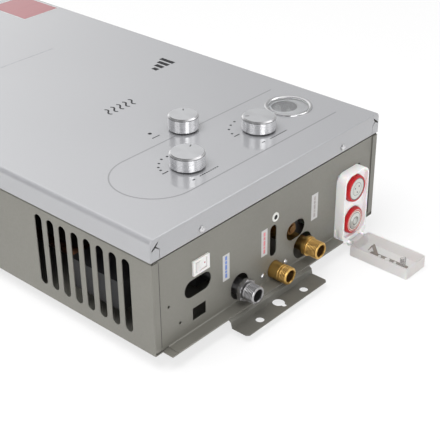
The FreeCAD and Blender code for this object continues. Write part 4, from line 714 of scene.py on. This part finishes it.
def threaded_end(inner, start, finish, neck_rows, bore=MOUTH_BORE, radius=THREAD_RADIUS):
    """A pipe end: plain rows behind, then a helical thread whose roots are painted dark as
    painted shade, up to the mouth.
    """
    def cut_thread(out, height, angle):
        if not start <= height <= finish or out < radius - CREST_DROP:
            return out
        phase = (height / THREAD_PITCH + angle / (2 * math.pi)) % 1
        groove = 1 - abs(phase * 2 - 1)
        fade = min((height - start) / 0.001, (finish - height) / 0.0006, 1)
        return out - THREAD_DEPTH * min(groove * 1.25, 1) * max(fade, 0)

    rows = [(bore, -inner), *neck_rows]
    count = int((finish - start) / THREAD_PITCH * 8)
    for number in range(count + 1):
        rows.append((radius, start + (finish - start) * number / count))
    rows += [(radius - 0.0009, finish + 0.0008), (radius - CREST_DROP, finish + 0.001),
             (bore + 0.0005, finish + 0.001), (bore, finish + 0.0004), (bore, finish - 0.0008, 1),
             (bore, 0.0, 1), (bore, -inner)]
    pipe = turn(rows, 96, cut_thread)
    for face in pipe.faces:
        centre = face.calc_center_median()
        in_root = radius - CREST_DROP < centre.xy.length < radius - THREAD_DEPTH * 0.6
        if start < centre.z < finish and in_root:
            face.material_index = 1
    return pipe


# Each row is a piece, its node, its place across and up, its finishes and slot, how far it
# reaches in, where the thread starts and ends, and the section behind the thread.
PIPES = (
    ("gas_thread", "gas_inlet_connector", -0.0603, 0.029, (nickel, nickel_bore_shade),
     "plated_steel", 0.05, 0.0125, 0.025, [(0.009, -0.05), (0.009, 0.0115), (0.0096, 0.012)]),
    ("hot_thread", "hot_outlet_connector", -0.0006, 0.023, (brass, brass_bore_shade), "brass", 0.01,
     0.0145, 0.0225, [(0.0103, -0.01), (0.0103, 0.0115), (0.0096, 0.012), (0.0096, 0.0135)]),
    ("cold_thread", "cold_inlet_connector", 0.0524, 0.0325, (brass, brass_bore_shade), "brass",
     0.057, 0.0105, 0.025, [(0.009, -0.057), (0.009, 0.005), (0.0118, 0.005),
                            (0.0119, 0.0055), (0.0119, 0.0095), (0.0117, 0.01),
                            (0.0104, 0.0102)]))
for name, node, x, z, finishes, slot, inner, start, finish, neck in PIPES:
    where = Matrix.Translation((x, PIPE_END, z)) @ facing(-1)
    pipe = threaded_end(inner, start, finish, neck)
    finish_piece(name, as_mesh(pipe, where), finishes, "heater", [node], sharp=50)

NUT_FLAT = 0.0125
NUT_CORNER = 0.01443
NUT_BORE = 0.009


def hexagon(radius, height, angle):
    """Draws a turned ring in to the flats of a nut."""
    if radius < NUT_FLAT:
        return radius
    from_flat = (angle + math.pi / 6) % (math.pi / 3) - math.pi / 6
    return min(radius, NUT_FLAT / math.cos(from_flat))


nut = turn([(NUT_BORE, 0.0055), (NUT_FLAT, 0.0055), (NUT_CORNER, 0.0062), (NUT_CORNER, 0.0103),
            (NUT_FLAT, 0.011), (NUT_BORE, 0.011), (NUT_BORE, 0.0055)], 72, hexagon)
gas_place = Matrix.Translation((PIPES[0][2], PIPE_END, PIPES[0][3])) @ facing(-1)
finish_piece("gas_nut", as_mesh(nut, gas_place), [nickel], "heater",
             ["gas_inlet_nut"], sharp=25)

# Colour plates by the pipe ends. Small white foil labels stuck on the end panel, one with
# blue bars, one with red and one with grey, and no wording.
PANEL_SKIN = 0.032
WALL_GAP = 0.01
LABEL_LIFT = 0.00008
BAR_LIFT = 0.00012
BAR_HALF = 1.6
BAR_START = 3
BAR_GAP = 0.9
BAR_LENGTHS = (5.5, 3, 6.5, 4, 5)
# Each row is a plate, its left and right edge, its lower and upper edge and its bars' colour.
PLATES = (("cold_plate", 107, 118, 39, 72, (0.12, 0.2, 0.5)),
          ("hot_plate", 171.5, 182, 39, 73, (0.62, 0.2, 0.22)),
          ("plain_plate", 262, 274, 46, 80, (0.33, 0.3, 0.29)))
label_white = Finish("white_label_foil", (0.56, 0.555, 0.55), 0.4)
label_white.vary_gloss(500.0, 0.34, 0.48)


def end_patch(shape, left, low, right, high, y, band=0):
    """A flat patch on the pipe end, measured in millimetres from its corner by the wall."""
    corners = [(left, low), (right, low), (right, high), (left, high)]
    patch = shape.faces.new([shape.verts.new(((across - CASE_WIDTH / 2) * MM, y,
                                              up * MM + WALL_GAP)) for across, up in corners])
    patch.material_index = band


def flat_mesh(shape):
    """Closes a bmesh of patches that face the right way as they are."""
    mesh = bpy.data.meshes.new("patches")
    shape.to_mesh(mesh)
    shape.free()
    return mesh


for name, left, right, low, high, colour in PLATES:
    tone = Finish(f"{name}_ink", colour, 0.4)
    tone.vary_colour(160.0, colour, [channel * 1.3 for channel in colour], 3.0)
    plate = bmesh.new()
    end_patch(plate, left, low, right, high, PANEL_SKIN - LABEL_LIFT)
    middle = (left + right) / 2
    start = low + BAR_START
    for length in BAR_LENGTHS:
        end_patch(plate, middle - BAR_HALF, start, middle + BAR_HALF, start + length,
                  PANEL_SKIN - BAR_LIFT, 1)
        start += length + BAR_GAP
    finish_piece(name, flat_mesh(plate), [label_white, tone], "heater")

# Seams of the pipe end. The side panels' flanges turn round the corners over the end panel, and a
# near-black strip along each flange's edge is painted shade for the gap there.
SEAM_INSET = 11.0
SEAM_WIDTH = 0.7
SEAM_LOW = 7
SEAM_HIGH = 111
SEAM_LEVEL = PIPE_END - 0.00006
# Painted shade: the near-black strips along the flanges' edges.
seam_shadow = Finish("seam_shadow", (0.035, 0.034, 0.03), 0.7)
seam_shadow.vary_gloss(700.0, 0.6, 0.8)
seams = bmesh.new()
for left in (SEAM_INSET - SEAM_WIDTH, CASE_WIDTH - SEAM_INSET):
    end_patch(seams, left, SEAM_LOW, left + SEAM_WIDTH, SEAM_HIGH, SEAM_LEVEL)
finish_piece("end_panel_seams", flat_mesh(seams), [seam_shadow], "heater")

# Grommet. A pale rubber ring pressed into the end panel round its bore, which a near-black disc
# closes, painted shade.
GROMMET_FACE = 0.0004
GROMMET_LIP = 0.0006
grommet = Finish("pale_grommet_rubber", (0.72, 0.72, 0.69), 0.6)
grommet.vary_gloss(700.0, 0.52, 0.7)
# Painted shade: the near-black disc that closes the bore.
grommet_bore_shade = Finish("grommet_bore_shadow", (0.03, 0.03, 0.03), 0.7)
grommet_bore_shade.vary_gloss(700.0, 0.6, 0.8)
low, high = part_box("panel_grommet")
rim = (high[0] - low[0]) / 2
ring = turn([(0, -0.001, 1), (rim * 0.5, -0.001, 1), (rim * 0.5, GROMMET_FACE - GROMMET_LIP),
             (rim * 0.58, GROMMET_FACE / 2), (rim * 0.72, GROMMET_FACE),
             (rim * 0.9, GROMMET_FACE / 2), (rim, -GROMMET_LIP), (rim, -2 * GROMMET_LIP),
             (0, -2 * GROMMET_LIP)], 48)
where = Matrix.Translation(((low[0] + high[0]) / 2, low[1] + GROMMET_FACE,
                            (low[2] + high[2]) / 2)) @ facing(-1)
finish_piece("grommet_ring", as_mesh(ring, where), [grommet, grommet_bore_shade], "heater",
             ["panel_grommet"])

# Flue and gas parts, seen through the slots and holes: die-cast valve bodies, zinc-coated burner
# and hood sheet, drawn copper pipes, fins and shell, and glazed ceramic probes. All but the
# probes are painted near-black, painted shade for the inside of the case. The flue collar outside
# is bright zinc-coated sheet.
for name, dark, light, nodes in (
        ("galvanised_sheet", (0.42, 0.43, 0.44), (0.6, 0.61, 0.62), ["flue_collar"]),
        ("inner_sheet_painted_shade", (0.11, 0.112, 0.115), (0.17, 0.173, 0.178),
         ["flue_hood", "burner_frame", "burner_strips", "solenoid_valve"])):
    sheet = Finish(name, light, 0.4, 0.85)
    spangle = sheet.node("ShaderNodeTexVoronoi", {"Vector": sheet.place, "Scale": 140.0})
    sheet.tint(spangle.outputs["Distance"], dark, light)
    sheet.rough(sheet.spread(spangle.outputs["Distance"], 0.3, 0.5, 0, 1))
    dress(sheet, *nodes)
# Painted shade: the valve bodies are near-black.
inner_casting_shade = Finish("die_cast_alloy_painted_shade", (0.1, 0.1, 0.1), 0.6, 0.6)
inner_casting_shade.vary_gloss(300.0, 0.42, 0.62, 3.0)
inner_casting_shade.grain(700.0, 0.4, 0.0003, 3.0)
dress(inner_casting_shade, "gas_valve", "season_valve", "gas_manifold")
# Painted shade: the copper parts are a near-black brown.
copper = Finish("drawn_copper_painted_shade", (0.18, 0.08, 0.045), 0.45, 0.9)
copper.vary_colour(60.0, (0.2, 0.09, 0.05), (0.13, 0.06, 0.035), 3.0)
copper.vary_gloss(500.0, 0.25, 0.45, 3.0)
dress(copper, "exchanger_shell", "exchanger_fins", "exchanger_tube", "cold_pipe", "hot_pipe")
ceramic = Finish("glazed_ceramic", (0.75, 0.73, 0.68), 0.25)
ceramic.vary_gloss(400.0, 0.2, 0.35)
dress(ceramic, "burner_probes", "overheat_sensor")

# Studio. A pale paper floor just under the open door, which glows a little where it is seen
# and keeps the heater's shadow, and a white backdrop from the world. Mirrors see a world that
# is brighter on one side, so that the cover and the metal show soft bands.
FLOOR_REACH = 12.0
FLOOR_LEVEL = -0.0085
PAPER_GLOW = 0.72
WHITE_LEVEL = 0.94
ROOM_LEVEL = 0.45
# Where a mirrored direction points across the room, from 0 at the left to 1 at the right,
# and how bright the room is there.
MIRRORED_ROOM = ((0.38, 0.25), (0.7, 1.45), (0.87, 0.55))

floor_shape = bmesh.new()
for x, y in ((-1, -1), (1, -1), (1, 1), (-1, 1)):
    floor_shape.verts.new((x * FLOOR_REACH, y * FLOOR_REACH, FLOOR_LEVEL))
floor_shape.faces.new(floor_shape.verts)
floor_mesh = as_mesh(floor_shape)
floor = bpy.data.objects.new("studio_floor", floor_mesh)
bpy.context.scene.collection.objects.link(floor)
paper = Finish("studio_paper", (0.86, 0.86, 0.86), 0.9)
paper.set("Specular IOR Level", 0.0)
ray = paper.node("ShaderNodeLightPath").outputs
seen = paper.node("ShaderNodeMath", {0: ray["Is Camera Ray"], 1: ray["Is Glossy Ray"]},
                  operation="MAXIMUM")
seen = paper.node("ShaderNodeMath", {0: seen.outputs[0], 1: ray["Is Transmission Ray"]},
                  operation="MAXIMUM")
share = paper.node("ShaderNodeMath", {0: seen.outputs[0], 1: PAPER_GLOW},
                   operation="MULTIPLY")
glow = paper.node("ShaderNodeEmission", {"Color": (1, 1, 1, 1), "Strength": 1.0})
blend = paper.node("ShaderNodeMixShader", {"Fac": share.outputs[0], 1: paper.shader.outputs[0],
                                           2: glow.outputs[0]})
paper.tree.links.new(blend.outputs[0], paper.tree.nodes["Material Output"].inputs["Surface"])
floor_mesh.materials.append(paper.material)

world = bpy.data.worlds.new("studio_air")
bpy.context.scene.world = world
world.use_nodes = True
air = world.node_tree
ray = add_node(air, "ShaderNodeLightPath").outputs
direction = add_node(air, "ShaderNodeTexCoord").outputs["Generated"]
aside = add_node(air, "ShaderNodeSeparateXYZ", {"Vector": direction}).outputs["X"]
span = add_node(air, "ShaderNodeMapRange", {"Value": aside, "From Min": -1})
room = add_node(air, "ShaderNodeValToRGB", {"Fac": span.outputs["Result"]})
stops = room.color_ramp.elements
stops.new(MIRRORED_ROOM[1][0])
for stop, (place, bright) in zip(stops, MIRRORED_ROOM):
    stop.position = place
    stop.color = (bright, bright, bright, 1)
mirrored = add_node(air, "ShaderNodeMix", {"Factor": ray["Is Glossy Ray"], "A": ROOM_LEVEL,
                                           "B": room.outputs["Color"]})
level = add_node(air, "ShaderNodeMix", {"Factor": ray["Is Camera Ray"],
                                        "A": mirrored.outputs["Result"], "B": WHITE_LEVEL})
backdrop = air.nodes["Background"]
backdrop.inputs["Color"].default_value = (1, 1, 1, 1)
air.links.new(level.outputs["Result"], backdrop.inputs["Strength"])

# Lamps. Four soft square lights: a broad one overhead, which mirrors don't show, one on the
# left, one before the pipe end and a small one that lifts the knobs' and lips' edges. Each
# row is a lamp's place, the point it looks at, its size, its power and if mirrors show it.
LAMPS = {"overhead_light": ((-0.8, 0.4, 2.4), (0, 0.4, 0), 1.7, 58, False),
         "left_light": ((-2.4, 0.3, 1.1), (0, 0.2, 0.08), 1.6, 8.5, True),
         "pipe_end_light": ((-1.0, -2.3, 0.8), (0, 0.1, 0.08), 1.4, 22, True),
         "edge_light": ((1.6, -0.35, 2.1), (0, 0.1, 0.1), 0.8, 7, True)}
for name, (spot, target, size, power, in_mirrors) in LAMPS.items():
    lamp = bpy.data.lights.new(name, "AREA")
    lamp.shape = "SQUARE"
    lamp.size = size
    lamp.energy = power
    stand = bpy.data.objects.new(name, lamp)
    bpy.context.scene.collection.objects.link(stand)
    stand.location = spot
    aim = Vector(target) - Vector(spot)
    stand.rotation_euler = aim.to_track_quat("-Z", "Y").to_euler()
    stand.visible_glossy = in_mirrors

# Camera. It stands over the heater's lower left corner, where the photograph was taken, and
# is turned from the world's axes about CAMERA_TURN, by that vector's length in radians.
CAMERA_SPOT = (-0.8002, -0.6060, 0.6962)
CAMERA_TURN = Vector((1.9571, -0.8828, 0.4911))
lens = bpy.data.cameras.new("photo_camera")
lens.lens = 87.45
lens.sensor_width = 36
lens.clip_start = 0.05
lens.clip_end = 50
camera = bpy.data.objects.new("photo_camera", lens)
bpy.context.scene.collection.objects.link(camera)
right, down, ahead = Matrix.Rotation(CAMERA_TURN.length, 3, CAMERA_TURN.normalized())
axes = Matrix((right, -down, -ahead)).transposed()
camera.matrix_world = Matrix.Translation(CAMERA_SPOT) @ axes.to_4x4()
bpy.context.scene.camera = camera
bpy.context.scene.view_settings.view_transform = "Standard"
